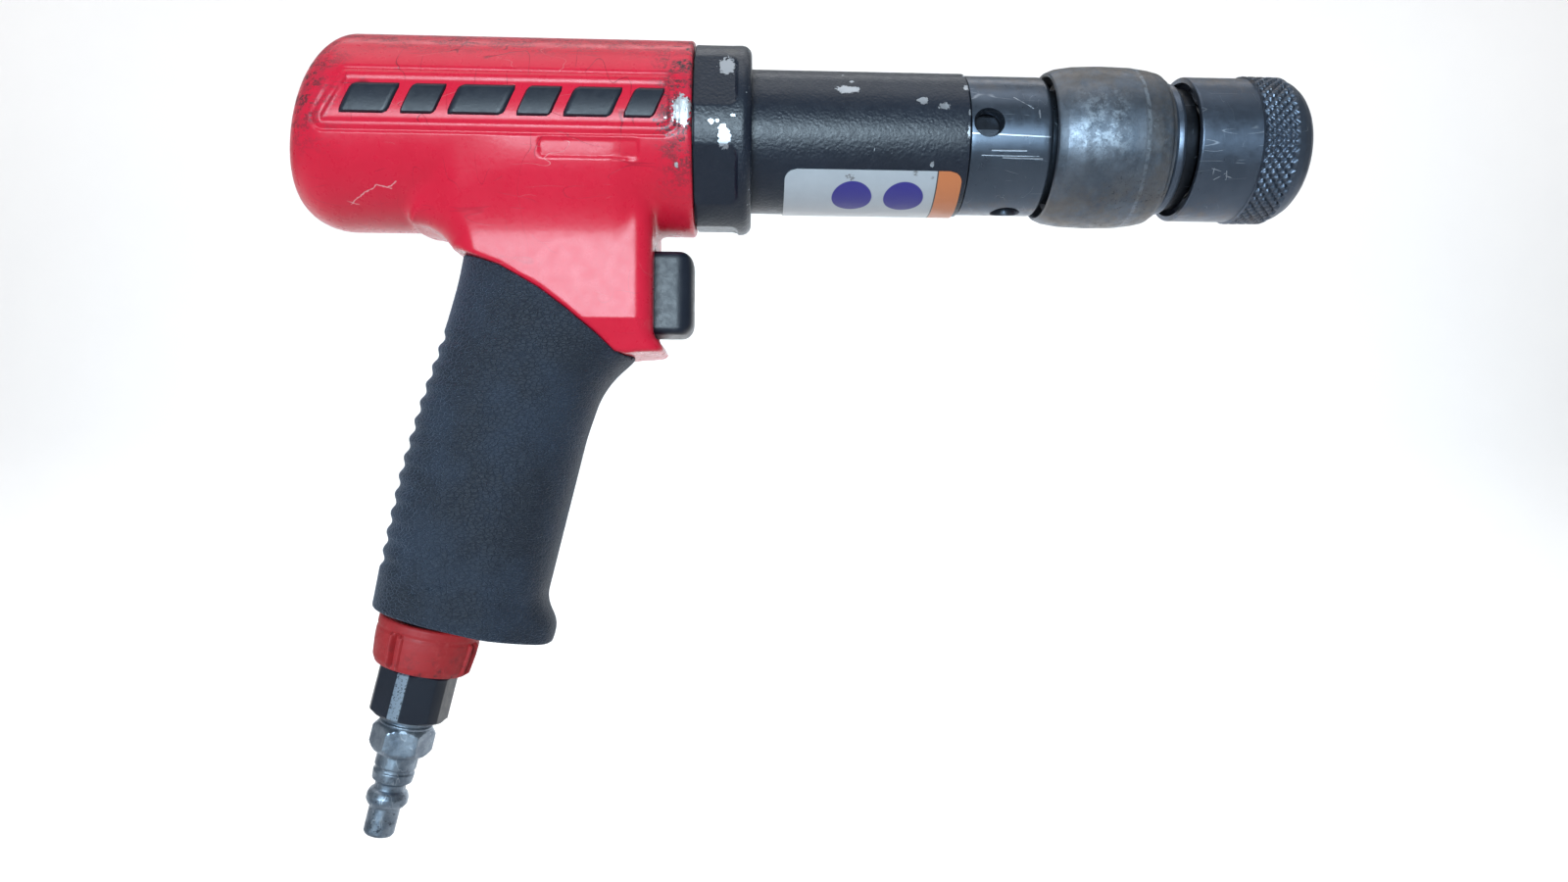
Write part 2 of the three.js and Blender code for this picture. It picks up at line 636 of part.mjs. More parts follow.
function chuckSleeve() {
  const outline = [
    [17.9, CHUCK_SLEEVE_REAR], [CHUCK_SLEEVE_R - 0.7, CHUCK_SLEEVE_REAR],
    [CHUCK_SLEEVE_R, CHUCK_SLEEVE_REAR + 0.8], [CHUCK_SLEEVE_R, 199.6], [19.9, 200], [19.9, 207],
    [19.6, 209], [18.8, 211.2], [17.4, 213.4], [15.6, CHUCK_FRONT], [13.8, CHUCK_FRONT], [13.8, 204.8],
    [11, 204.8], [11, 199.6], [13.2, 199], [13.2, 193.5], [11, 191.3], [11, 188.6], [17.9, 188.6],
  ];
  return piece('chuck_sleeve', turnedX(outline), steelBlued);
}

function chuckBalls() {
  const balls = [];
  for (let i = 0; i < BALL_COUNT; i += 1) {
    const angle = (i * 2 * Math.PI) / BALL_COUNT;
    const ball = piece(`chuck_ball_${i + 1}`, solid(new THREE.SphereGeometry(BALL_R, 12, 8)), steelBright);
    ball.position.set(BALL_X, BALL_RADIUS_AT_REST * Math.cos(angle), BALL_RADIUS_AT_REST * Math.sin(angle));
    balls.push(ball);
  }
  return balls;
}

function chuckSmallPieces() {
  const snapRing = turnedX(tubeOutline(10.1, 12.9, 205.5, 206.4));
  const wiper = turnedX([
    [CORE_R + GAP, 175.8], [16.9, 175.8], [16.9, 178.4], [17.3, 179], [17.3, 180], [CORE_R + GAP, 180.4],
  ]);
  const bumper = turnedX(tubeOutline(6, 14.6, 160.4, 163));
  return [
    piece('chuck_snap_ring', snapRing, steelBright),
    piece('chuck_wiper', wiper, steelBlued),
    piece('shank_bumper', bumper, sealBlack),
    piece('chuck_spring', coil(12.5, 0.7, 173, 188.2, 5), steelBright),
  ];
}

// ---------------------------------------------------------------- exhaust, inlet and air plug

/** The deflector turns on the bushing's spigot; its ports face away from the left side. */
function exhaustRing() {
  const [foot, top] = [-60.3, -48.3];
  const body = turnedZ([
    [7.5, foot], [12.2, foot], [12.6, foot + 0.6], [14.1, -53], [14.1, top - 0.4], [13.7, top], [11.6, top],
    [10.8, foot + 2], [7.5, foot + 2],
  ], SIDES);
  const grooves = [];
  for (let i = 0; i < 12; i += 1) {
    const angle = Math.floor(i / 2) * (Math.PI / 3) + ((i % 2) - 0.5) * 0.24 + 0.3;
    const groove = new THREE.BoxGeometry(2, 1.3, 20).translate(14.2, 0, -54);
    grooves.push(solid(groove.rotateZ(angle)));
  }
  const ports = [70, 110].map((degrees) => {
    const port = new THREE.BoxGeometry(8, 5, 4).translate(12.5, 0, -54.2);
    return solid(port.rotateZ(THREE.MathUtils.degToRad(degrees)));
  });
  return piece('exhaust_ring', cut(body, ...grooves, ...ports), plasticRed);
}

function inletBushing() {
  const spigot = turnedZ([[0, -61.4], [7, -61.4], [7, -30], [0, -30]]);
  const hex = hexPrism(19, 21, -73.6, -60.6);
  const thread = turnedZ([[0, -80], [6.9, -80], [6.9, -64], [INLET_R, -63], [INLET_R, -20], [0, -20]]);
  return piece('inlet_bushing', cut(join(spigot, hex), thread), plasticBlack);
}

function inletScreen() {
  const disc = turnedZ([[0, -62.4], [4.6, -62.4], [4.6, -61.4], [0, -61.4]]);
  const holes = [rod([0, 0, -64], [0, 0, -60], 0.9, 8)];
  for (let i = 0; i < 6; i += 1) {
    const [x, y] = [2.8 * Math.cos((i * Math.PI) / 3), 2.8 * Math.sin((i * Math.PI) / 3)];
    holes.push(rod([x, y, -64], [x, y, -60], 0.9, 8));
  }
  return piece('inlet_screen', cut(disc, ...holes), steelBright);
}

/** Quick-connect plug: threaded end, hexagon, locking groove and nose. */
function airPlug() {
  const upper = turnedZ([[0, -77.4], [6.9, -77.4], [6.9, -74], [6.5, -73.6], [6.5, -65.8], [0, -65.8]]);
  const hex = hexPrism(14.3, 16.4, -83.5, -76.2);
  const lower = turnedZ([
    [0, -106.2], [3.6, -106.2], [4, -105.6], [4, -98.5], [4.7, -98.1],
    [5.45, -97.1], [5.45, -95.5], [5, -94.6],
    [4, -93.7], [4, -92], [5.4, -91.2], [5.4, -88.8], [5.1, -88.5], [5.1, -87.7], [5.4, -87.4],
    [5.4, -83.4], [0, -83.4],
  ]);
  const bore = turnedZ([[0, -112], [2.8, -112], [2.8, -69.4], [4.6, -67.4], [4.6, -60], [0, -60]]);
  return piece('air_plug', cut(join(upper, hex, lower), bore), zinc);
}

function deflectorSeal() {
  const torus = new THREE.TorusGeometry(8.3, 0.8, 6, FINE_SIDES).translate(0, 0, -56.6);
  return piece('deflector_oring', solid(torus), sealBlack);
}

// ---------------------------------------------------------------- assembly

const barrelGroup = new THREE.Group();
barrelGroup.position.z = BARREL_Z;
barrelGroup.add(
  collar(), barrelSleeve(), barrelNose(), barrelLabel(), cylinder(), piston(), cylinderSeal(),
  ...valveBlock(), chuckRing(), chuckCore(), chuckSleeve(), ...chuckBalls(), ...chuckSmallPieces(),
);

const inletGroup = new THREE.Group();
inletGroup.position.x = PLUG_OFFSET;
inletGroup.add(exhaustRing(), deflectorSeal(), inletBushing(), inletScreen(), airPlug());

const handleGroup = new THREE.Group();
handleGroup.rotation.y = RAKE;
handleGroup.add(inletGroup);

const rivetGun = new THREE.Group();
rivetGun.add(
  housing(), grip(), trigger(), triggerStem(), triggerPin(), ...throttlePieces(), barrelGroup, handleGroup,
);

export default rivetGun;
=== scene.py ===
import math

import bpy
import numpy as np
from mathutils import Matrix, Vector


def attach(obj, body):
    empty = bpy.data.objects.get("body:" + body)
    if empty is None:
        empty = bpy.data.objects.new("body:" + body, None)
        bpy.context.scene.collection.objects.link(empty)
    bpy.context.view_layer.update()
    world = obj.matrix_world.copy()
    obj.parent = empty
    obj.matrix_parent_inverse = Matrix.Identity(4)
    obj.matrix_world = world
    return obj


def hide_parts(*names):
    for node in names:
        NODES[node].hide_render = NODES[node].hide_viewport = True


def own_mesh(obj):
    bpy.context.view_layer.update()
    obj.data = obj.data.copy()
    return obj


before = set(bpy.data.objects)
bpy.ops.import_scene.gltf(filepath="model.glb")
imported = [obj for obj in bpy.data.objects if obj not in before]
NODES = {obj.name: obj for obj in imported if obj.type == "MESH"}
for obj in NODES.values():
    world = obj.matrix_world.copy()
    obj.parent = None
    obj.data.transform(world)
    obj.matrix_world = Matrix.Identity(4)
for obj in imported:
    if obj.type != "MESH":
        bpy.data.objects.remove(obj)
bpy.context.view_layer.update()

# ---------- dimensions, in millimetres
MM = 0.001
BARREL = 86.3  # height of the barrel axis
RAKE = math.radians(13.5)
RAKE_SIN, RAKE_COS = math.sin(RAKE), math.cos(RAKE)
INLET = -8.0  # the inlet axis lies behind the handle axis by this much
THROTTLE = 44.4  # height of the throttle axis
TRIGGER = (42.7, 43.75, 8.7, 11.2)  # middle x and z, half length and half height of the pad
POCKET = (50, 43.8, 23.7, 11.6)  # the same for the pocket it sinks into

HOUSING_REAR, HOUSING_FRONT, HOUSING_R = -51.25, 51.0, 25.8
REAR_CROWN = 0.0016  # the rear face bulges by this times the radius squared
LEAN = math.tan(math.radians(11))
REAR_ROUND = 12.0
BLOCK_FRONT, BLOCK_HALF = 40.6, 17.6
GRIP_LINE = [
    (-60, 62), (-9.2, 53), (1.6, 49), (11.7, 43.2), (18.6, 38.1), (26.1, 31.9), (30.6, 27.6),
    (33.5, 26.8), (36.2, 27.2), (44, 27.6), (80, 27.6), (80, 120), (-60, 120),
]
BLOCK_SIDE = [
    (-23, 74), (-22.5, 60.3), (-20.4, 60.1), (-18.4, 59.6), (-16.5, 58.7), (-14.8, 57.5), (-13.3, 56.0),
    (-12.1, 54.3), (-11.4, 52.0), (-14, 36), (-9, 12),
    (43.2, 12), (43.2, 28.5), (42.3, 30.2), (41.1, 31.4), (BLOCK_FRONT, 33), (BLOCK_FRONT, 74),
]
GRIP_FOOT = -46.4
GRIP_REAR = [(-46.4, -23.3), (-26, -24.4), (-10, -25), (10, -24.3), (31, -22.6), (42, -22.4), (58, -23.4)]
GRIP_FRONT = [
    (-46.4, 24.4), (-41, 24.8), (-38.6, 23.4), (-35.6, 20), (10, 20), (21, 21), (27, 23.2), (34, 28),
    (58, 35),
]
GRIP_HALF, GRIP_POWER = 17.4, 2.6
CORE_HALF_DEPTH, CORE_HALF_WIDTH, CORE_CENTRE = 18.4, 14.2, -1.8


# ---------- distance fields
def rounded_box(u, v, half_u, half_v, radius):
    """Signed distance to a rounded rectangle round the origin of (u, v)."""
    a, b = np.abs(u) - half_u + radius, np.abs(v) - half_v + radius
    return np.hypot(np.maximum(a, 0), np.maximum(b, 0)) + np.minimum(np.maximum(a, b), 0) - radius


def meet(a, b, radius):
    """Intersection of two distances with a rounded outer edge."""
    a, b = a + radius, b + radius
    return np.hypot(np.maximum(a, 0), np.maximum(b, 0)) + np.minimum(np.maximum(a, b), 0) - radius


def blend_min(a, b, width):
    """Union of two distances with a fillet between them."""
    share = np.clip(0.5 + 0.5 * (b - a) / width, 0, 1)
    return b * (1 - share) + a * share - width * share * (1 - share)


def blend_max(a, b, width):
    return -blend_min(-a, -b, width)


def smooth(value, low, high):
    t = np.clip((value - low) / (high - low), 0, 1)
    return t * t * (3 - 2 * t)


def polygon(u, v, corners):
    """Signed distance to a closed polygon, negative inside."""
    best = np.full(np.broadcast(u, v).shape, 1e9)
    inside = np.zeros(best.shape, bool)
    for (u0, v0), (u1, v1) in zip(corners, corners[1:] + corners[:1]):
        eu, ev = u1 - u0, v1 - v0
        t = np.clip(((u - u0) * eu + (v - v0) * ev) / (eu * eu + ev * ev), 0, 1)
        best = np.minimum(best, np.hypot(u - u0 - t * eu, v - v0 - t * ev))
        spans = (v0 > v) != (v1 > v)
        if ev:
            inside ^= spans & (u < u0 + (v - v0) * eu / ev)
    return np.where(inside, -best, best)


def handle_axes(x, z):
    """Height up the raked handle and distance forward of its axis."""
    return x * RAKE_SIN + z * RAKE_COS, x * RAKE_COS - z * RAKE_SIN


def edge(points, height):
    """Value of a smoothed edge curve at each height."""
    heights, values = zip(*points)
    offsets = (-2.4, -1.2, 0, 1.2, 2.4)
    return sum(np.interp(height + o, heights, values) for o in offsets) / len(offsets)


def oval(w, y, rear, front, half):
    """Rough distance to the handle's rounded section."""
    reach = (front - rear) / 2
    level = (np.abs((w - (front + rear) / 2) / reach) ** GRIP_POWER + np.abs(y / half) ** GRIP_POWER)
    return (level ** (1 / GRIP_POWER) - 1) * np.minimum(reach, half)


def core_field(x, y, z, foot, top, margin=0.0):
    h, w = handle_axes(x, z)
    reach = CORE_HALF_DEPTH + margin
    section = oval(w, y, CORE_CENTRE - reach, CORE_CENTRE + reach, CORE_HALF_WIDTH + margin)
    return meet(section, np.maximum(foot - h, h - top), 0.4)


def inlet_hole(x, y, z, radius, foot, top):
    h, w = handle_axes(x, z)
    return np.maximum(np.hypot(w - INLET, y) - radius, np.maximum(foot - h, h - top))


PANEL = [(-41.0, 83.0), (-34.6, 94.2), (44.4, 94.2), (45.9, 92.6), (45.9, 83.0), (44.0, 81.9), (-40.0, 81.9)]
PLATE = (25.4, 77.0, 12.6, 2.5)  # middle x and z, half length and half height


def cast_relief(x, z):
    """Depth of the cast panel, its rim groove and the small sunk plate in the barrel's side."""
    panel = polygon(x, z, PANEL)
    plate = rounded_box(x - PLATE[0], z - PLATE[1], PLATE[2], PLATE[3], 1.2)
    inside = 0.55 * smooth(-panel, 0.3, 1.0)
    groove = 0.35 * (1 - smooth(np.abs(panel - 1.6), 0.2, 0.7))
    sunk = 0.5 * (1 - smooth(plate, -0.5, 0.0))
    return -np.maximum(np.maximum(inside, groove), sunk)


def housing_field(x, y, z):
    up = z - BARREL
    lean_end = HOUSING_REAR + 2 * REAR_ROUND
    share = np.clip((lean_end - x) / (lean_end - HOUSING_REAR), 0, 1.1)
    along = x - share * up * LEAN
    radial = np.hypot(y, up)
    along = along - np.clip(share, 0, 1) * REAR_CROWN * radial ** 2
    middle, half = (HOUSING_REAR + HOUSING_FRONT) / 2, (HOUSING_FRONT - HOUSING_REAR) / 2
    corner = np.where(along < middle, REAR_ROUND, 1.0)
    body = rounded_box(along - middle, radial, half, HOUSING_R, corner)
    body = body - cast_relief(x, z) * (np.abs(y) > 15) * (radial > 23)
    side = polygon(x, z, BLOCK_SIDE)
    belly = smooth(z, 30, 62)
    half = BLOCK_HALF - 1.2 + 1.2 * belly - 0.4 * np.maximum(35.5 - z, 0)
    corner = 2.4 + 6 * smooth(-x, -9, 9) + 2.4 * smooth(x, 26, 38)
    block = meet(side, np.abs(y) - half, corner)
    block = blend_max(block, polygon(x, z, GRIP_LINE), 1.2)
    shape = blend_min(body, block, 2.5 + 9.5 * smooth(np.minimum(x + 14, 37 - x), -4, 7))
    shape = np.maximum(shape, polygon(x, z, GRIP_LINE))
    shape = np.maximum(shape, x - HOUSING_FRONT)
    shape = np.minimum(shape, core_field(x, y, z, GRIP_FOOT + 0.3, 60))
    wide = np.maximum(radial - 22.4, 30 - x)
    bore = np.minimum(np.maximum(radial - 20.4, -40 - x), wide)
    pocket = rounded_box(x - POCKET[0], z - POCKET[1], POCKET[2], POCKET[3], 1.6)
    pocket = meet(pocket, np.abs(y) - 8, 1.0)
    shape = blend_max(shape, -pocket, 0.9)
    throttle = np.maximum(np.hypot(y, z - THROTTLE) - 6.5, np.maximum(-4.5 - x, x - 27.3))
    for hole in (bore, throttle, inlet_hole(x, y, z, 5, -50, 43), inlet_hole(x, y, z, 7.4, -50, -29)):
        shape = np.maximum(shape, -hole)
    return shape


GOUGES = [  # x, z and size of the dents in the grip
    (-20.2, -34.6, 1.1), (-19.0, -35.6, 0.8), (-14.7, -34.0, 0.8), (-11.7, -33.5, 0.9), (-18.6, -38.2, 0.7),
]


def grip_field(x, y, z):
    h, w = handle_axes(x, z)
    rear, front = edge(GRIP_REAR, h), edge(GRIP_FRONT, h)
    toe = smooth(-33 - h, 0, 4) * smooth(w, 8, 24)
    outer = oval(w, y, rear, front, GRIP_HALF - 5.0 * toe)
    ribbed = smooth(-w, 12.0, 17.5) * smooth(h, -37, -34.5) * smooth(-h, -30.5, -27)
    outer = outer + 0.33 * (1 + np.cos(2 * np.pi * (h + 28.6) / 5)) * ribbed
    for gx, gz, size in GOUGES:
        dent = np.hypot(x - gx, (z - gz) * 1.3) / size
        outer = outer + 0.6 * np.exp(-dent * dent * 2) * (y < 0)
    shape = blend_max(outer, GRIP_FOOT - h, 1.0)
    shape = meet(shape, polygon(x + 0.05, z + 0.07, GRIP_LINE) * -1, 0.45)
    hollow = core_field(x, y, z, GRIP_FOOT - 6, 66, 0.3)
    return np.maximum(shape, -hollow)


def trigger_field(x, y, z):
    corner = np.where(x < 40, 0.8, 4.0)
    side = rounded_box(x - TRIGGER[0], z - TRIGGER[1], TRIGGER[2], TRIGGER[3], corner)
    plan = rounded_box(x - 32.7, y, 18.7, 7.5, 5.4)
    return blend_max(side, plan, 2.2)


# ---------- meshes
def surface_net(field, low, high, step):
    """Points and quads of the surface where the field is zero."""
    axes = [np.arange(a - 2 * step, b + 3 * step, step) for a, b in zip(low, high)]
    value = np.broadcast_to(field(*np.meshgrid(*axes, indexing="ij", sparse=True)), [len(a) for a in axes])
    value = np.where(np.abs(value) < 1e-6, 1e-6, value)
    cells = tuple(n - 1 for n in value.shape)
    total, count = np.zeros(cells + (3,)), np.zeros(cells)
    crossings = []
    for axis in range(3):
        first, second = [slice(None)] * 3, [slice(None)] * 3
        first[axis], second[axis] = slice(None, -1), slice(1, None)
        a, b = value[tuple(first)], value[tuple(second)]
        cross = (a < 0) != (b < 0)
        share = np.where(cross, a / np.where(cross, a - b, 1), 0)
        crossings.append((cross, a < 0))
        u, v = (axis + 1) % 3, (axis + 2) % 3
        for du in (0, 1):
            for dv in (0, 1):
                part = [slice(None)] * 3
                part[u], part[v] = slice(du, du + cells[u]), slice(dv, dv + cells[v])
                hit = cross[tuple(part)]
                count += hit
                total[..., axis] += np.where(hit, share[tuple(part)], 0)
                total[..., u] += hit * du
                total[..., v] += hit * dv
    used = count > 0
    index = np.full(cells, -1)
    index[used] = np.arange(used.sum())
    corner = np.stack(np.nonzero(used), 1)
    start = np.array([a[0] for a in axes])
    points = start + step * (corner + total[used] / count[used][:, None])
    quads = []
    for axis, (cross, outward) in enumerate(crossings):
        u, v = (axis + 1) % 3, (axis + 2) % 3
        place = np.stack(np.nonzero(cross), 1)
        keep = (place[:, u] > 0) & (place[:, v] > 0) & (place[:, u] < cells[u]) & (place[:, v] < cells[v])
        place = place[keep]
        ring = []
        for du, dv in ((0, 0), (-1, 0), (-1, -1), (0, -1)):
            cell = place.copy()
            cell[:, u] += du
            cell[:, v] += dv
            ring.append(index[tuple(cell.T)])
        quad = np.stack(ring, 1)
        forward = outward[tuple(place.T)]
        quads.append(np.where(forward[:, None], quad, quad[:, ::-1]))
    return settle(field, points, step), np.concatenate(quads)


def settle(field, points, step):
    """Moves points onto the field's zero surface, by less than a step."""
    start = points.copy()
    probe = 0.15 * step
    for _ in range(4):
        here = field(*points.T)
        slope = np.empty_like(points)
        for axis in range(3):
            shift = np.zeros(3)
            shift[axis] = probe
            slope[:, axis] = (field(*(points + shift).T) - field(*(points - shift).T)) / (2 * probe)
        steep = np.maximum((slope ** 2).sum(1), 0.2)
        points = points - slope * (here / steep)[:, None] * 0.9
        points = start + np.clip(points - start, -0.6 * step, 0.6 * step)
    return points


def add_mesh(name, points, faces, material, flat_angle=None):
    """A mesh object from millimetre points."""
    mesh = bpy.data.meshes.new(name)
    mesh.from_pydata((np.asarray(points, float) * MM).tolist(), [], np.asarray(faces).tolist())
    mesh.update()
    mesh.shade_smooth()
    if flat_angle:
        mesh.set_sharp_from_angle(angle=math.radians(flat_angle))
    mesh.materials.append(material)
    piece = bpy.data.objects.new(name, mesh)
    bpy.context.scene.collection.objects.link(piece)
    return piece


def filleted(corners):
    """Rounds the corners of a closed outline given as (station, radius) or (station, radius, fillet)."""
    points = []
    count = len(corners)
    for i, corner in enumerate(corners):
        here = Vector(corner[:2])
        fillet = corner[2] if len(corner) > 2 else 0
        before = Vector(corners[i - 1][:2]) - here
        after = Vector(corners[(i + 1) % count][:2]) - here
        if not fillet:
            points.append(here)
            continue
        turn = before.angle(after)
        reach = min(fillet / math.tan(turn / 2), 0.48 * before.length, 0.48 * after.length)
        radius = reach * math.tan(turn / 2)
        start, end = here + before.normalized() * reach, here + after.normalized() * reach
        bisector = (before.normalized() + after.normalized()).normalized()
        middle = here + bisector * (radius / math.sin(turn / 2))
        steps = max(2, int(abs(math.pi - turn) / math.radians(15)))
        for k in range(steps + 1):
            t = k / steps
            spoke = (start - middle).lerp(end - middle, t).normalized() * radius
            points.append(middle + spoke)
    return [(p.x, p.y) for p in points]


def divided(points, longest):
    """Adds points so that no stretch of a closed outline is longer than the given length."""
    result = []
    for a, b in zip(points, points[1:] + points[:1]):
        count = max(1, math.ceil(math.dist(a, b) / longest))
        for k in range(count):
            t = k / count
            result.append((a[0] + (b[0] - a[0]) * t, a[1] + (b[1] - a[1]) * t))
    return result


def turned_grid(outline, sides, shape, longest):
    """Rows of a turned body: station, radius and angle arrays, one row for each outline point."""
    rows = np.array(divided(filleted(outline), longest))
    angle = np.linspace(0, 2 * np.pi, sides, endpoint=False)
    station = np.repeat(rows[:, :1], sides, 1)
    radius = np.repeat(rows[:, 1:], sides, 1)
    spin = np.repeat(angle[None], len(rows), 0)
    if shape:
        station, radius = shape(station, radius, spin)
    return station, radius, spin


def grid_faces(rows, sides):
    i = np.arange(rows)[:, None]
    j = np.arange(sides)[None]
    a, b = i * sides + j, i * sides + (j + 1) % sides
    up = (i + 1) % rows
    c, d = up * sides + (j + 1) % sides, up * sides + j
    return np.stack([a, b, c, d], -1).reshape(-1, 4)


def outward(points, faces):
    """Turns every face round if the closed mesh is inside out."""
    a, b, c, d = (points[faces[:, k]] for k in range(4))
    volume = (a * np.cross(b, c)).sum() + (a * np.cross(c, d)).sum()
    return faces if volume > 0 else faces[:, ::-1]


def about_barrel(station, radius, spin):
    """Points about the barrel axis. Angle 0 faces -Y and 90 degrees faces up."""
    return station, -radius * np.cos(spin), BARREL + radius * np.sin(spin)


def about_inlet(height, radius, spin):
    """Points about the inlet axis; stations are heights and angle 0 faces -Y, 90 degrees forward."""
    w, y = INLET + radius * np.sin(spin), -radius * np.cos(spin)
    return w * RAKE_COS + height * RAKE_SIN, y, -w * RAKE_SIN + height * RAKE_COS


def drill(piece, cutters):
    """Cuts closed meshes out of a piece and keeps the result as plain mesh."""
    for cutter in cutters:
        modifier = piece.modifiers.new("hole", "BOOLEAN")
        modifier.operation = "DIFFERENCE"
        modifier.solver = "EXACT"
        modifier.object = cutter
    bpy.context.view_layer.update()
    depsgraph = bpy.context.evaluated_depsgraph_get()
    mesh = bpy.data.meshes.new_from_object(piece.evaluated_get(depsgraph))
    piece.modifiers.clear()
    piece.data = mesh
    for cutter in cutters:
        bpy.data.objects.remove(cutter)
    mesh.set_sharp_from_angle(angle=math.radians(35))
    return piece


def radial_pin(station, angle, radius, inner, outer):
    """A round cutter that points at the barrel axis and widens at the surface."""
    sides = 40
    spin = np.linspace(0, 2 * np.pi, sides, endpoint=False)
    out = np.array([0, -math.cos(angle), math.sin(angle)])
    tangent = np.array([0, math.sin(angle), math.cos(angle)])
    circle = np.outer(np.cos(spin), (1, 0, 0)) + np.outer(np.sin(spin), tangent)
    points = np.concatenate([
        np.array([station, 0, BARREL]) + out * reach + size * circle
        for reach, size in ((inner, radius), (outer - 2.0, radius), (outer, radius + 0.8))])
    faces = grid_faces(3, sides)[:-sides].tolist()
    caps = [tuple(range(sides))[::-1], tuple(range(2 * sides, 3 * sides))]
    mesh = bpy.data.meshes.new("cutter")
    mesh.from_pydata((points * MM).tolist(), [], faces + caps)
    mesh.update()
    cutter = bpy.data.objects.new("cutter", mesh)
    bpy.context.scene.collection.objects.link(cutter)
    return cutter


# ---------- materials
class Look:
    """A procedural material round one Principled shader."""

    def __init__(self, name, **constants):
        self.material = bpy.data.materials.new(name)
        self.material.use_nodes = True
        self.tree = self.material.node_tree
        self.tree.nodes.clear()
        output = self.tree.nodes.new("ShaderNodeOutputMaterial")
        self.shader = self.tree.nodes.new("ShaderNodeBsdfPrincipled")
        self.tree.links.new(self.shader.outputs[0], output.inputs[0])
        for key, value in constants.items():
            self.shader.inputs[key.replace("_", " ").title().replace("Ior", "IOR")].default_value = value
        place = self.tree.nodes.new("ShaderNodeTexCoord")
        self.mm = self.vector("SCALE", place.outputs["Object"], scale=1000.0)
        split = self.node("ShaderNodeSeparateXYZ", {0: self.mm})
        self.x, self.y, self.z = split.outputs

    def node(self, kind, inputs, **settings):
        made = self.tree.nodes.new(kind)
        for key, value in settings.items():
            setattr(made, key, value)
        for key, value in inputs.items():
            socket = made.inputs[key]
            if isinstance(value, bpy.types.NodeSocket):
                self.tree.links.new(value, socket)
            else:
                socket.default_value = value
        return made

    def vector(self, operation, a, b=(0, 0, 0), scale=None):
        inputs = {0: a, 1: b}
        if scale is not None:
            inputs = {0: a, "Scale": scale}
        made = self.node("ShaderNodeVectorMath", inputs, operation=operation)
        return made.outputs["Value" if operation in ("DISTANCE", "DOT_PRODUCT") else "Vector"]

    def math(self, operation, a, b=0.0):
        return self.node("ShaderNodeMath", {0: a, 1: b}, operation=operation).outputs[0]

    def stretched(self, x, y, z):
        return self.vector("MULTIPLY", self.mm, (x, y, z))

    def noise(self, scale, detail=2.0, rough=0.5, coords=None):
        inputs = {"Vector": coords or self.mm, "Scale": scale, "Detail": detail, "Roughness": rough}
        return self.node("ShaderNodeTexNoise", inputs).outputs["Fac"]

    def cells(self, scale, coords, feature):
        """Voronoi distances, for grained and creased surfaces."""
        inputs = {"Vector": coords or self.mm, "Scale": scale, "Randomness": 1.0}
        return self.node("ShaderNodeTexVoronoi", inputs, feature=feature).outputs["Distance"]

    def ramp(self, value, low, high, out_low=0.0, out_high=1.0):
        inputs = {0: value, 1: low, 2: high, 3: out_low, 4: out_high}
        return self.node("ShaderNodeMapRange", inputs, interpolation_type="SMOOTHSTEP").outputs[0]

    def fall(self, value, low, high):
        """1 up to the low value, 0 from the high one."""
        return self.ramp(value, low, high, 1.0, 0.0)

    def band(self, value, middle, inner, outer):
        """1 within the inner distance of a middle value, 0 beyond the outer one."""
        return self.fall(self.math("ABSOLUTE", self.math("SUBTRACT", value, middle)), inner, outer)

    def patches(self, scale, detail, rough, low, high, out_low=0.0, out_high=1.0):
        """Cloudy patches: a noise between two thresholds."""
        return self.ramp(self.noise(scale, detail, rough), low, high, out_low, out_high)

    def both(self, *masks):
        """Product of masks; a plain number weakens them."""
        result = masks[0]
        for mask in masks[1:]:
            result = self.math("MULTIPLY", result, mask)
        return result

    def either(self, *masks):
        result = masks[0]
        for mask in masks[1:]:
            result = self.math("MAXIMUM", result, mask)
        return result

    def mix(self, share, a, b):
        inputs = {0: share, 6: self.colour(a), 7: self.colour(b)}
        return self.node("ShaderNodeMix", inputs, data_type="RGBA").outputs[2]

    @staticmethod
    def colour(value):
        return (*value, 1.0) if isinstance(value, tuple) else value

    def base(self, share, dark, pale):
        """The ground colour, between two shades."""
        self.paint = self.mix(share, dark, pale)

    def layer(self, mask, colour):
        """Covers what is there with another colour where the mask says."""
        self.paint = self.mix(mask, self.paint, colour)

    def hair(self, scale, width, coords, low, high):
        """Broken hairlines: thin contours of a noise, shown only where a second noise is high."""
        line = self.math("ABSOLUTE", self.math("SUBTRACT", self.noise(scale, 1.0, 0.4, coords), 0.5))
        thin = self.fall(line, 0.0, width)
        return self.both(thin, self.patches(scale * 0.7, 1.0, 0.5, low, high))

    def ragged_patch(self, gap, reach, soft, uneven, noise):
        """1 where the gap is below the reach, with an uneven edge."""
        wave = self.both(self.math("SUBTRACT", noise, 0.5), uneven * 2)
        return self.fall(self.math("ADD", gap, wave), reach - soft, reach + soft)

    def near(self, point, reach, uneven, grain=0.6):
        """A stain round a point."""
        gap = self.vector("DISTANCE", self.mm, point)
        return self.ragged_patch(gap, reach, 0.12, uneven, self.noise(grain, 3.0, 0.6))

    def spot(self, point, reach, tall, uneven, grain=0.9):
        """A chip that is longer along X than across it."""
        scaled = self.vector("MULTIPLY", self.vector("SUBTRACT", self.mm, point), (1.0, tall, tall))
        gap = self.vector("DISTANCE", scaled)
        return self.ragged_patch(gap, reach, 0.1, uneven, self.noise(grain, 4.0, 0.65))

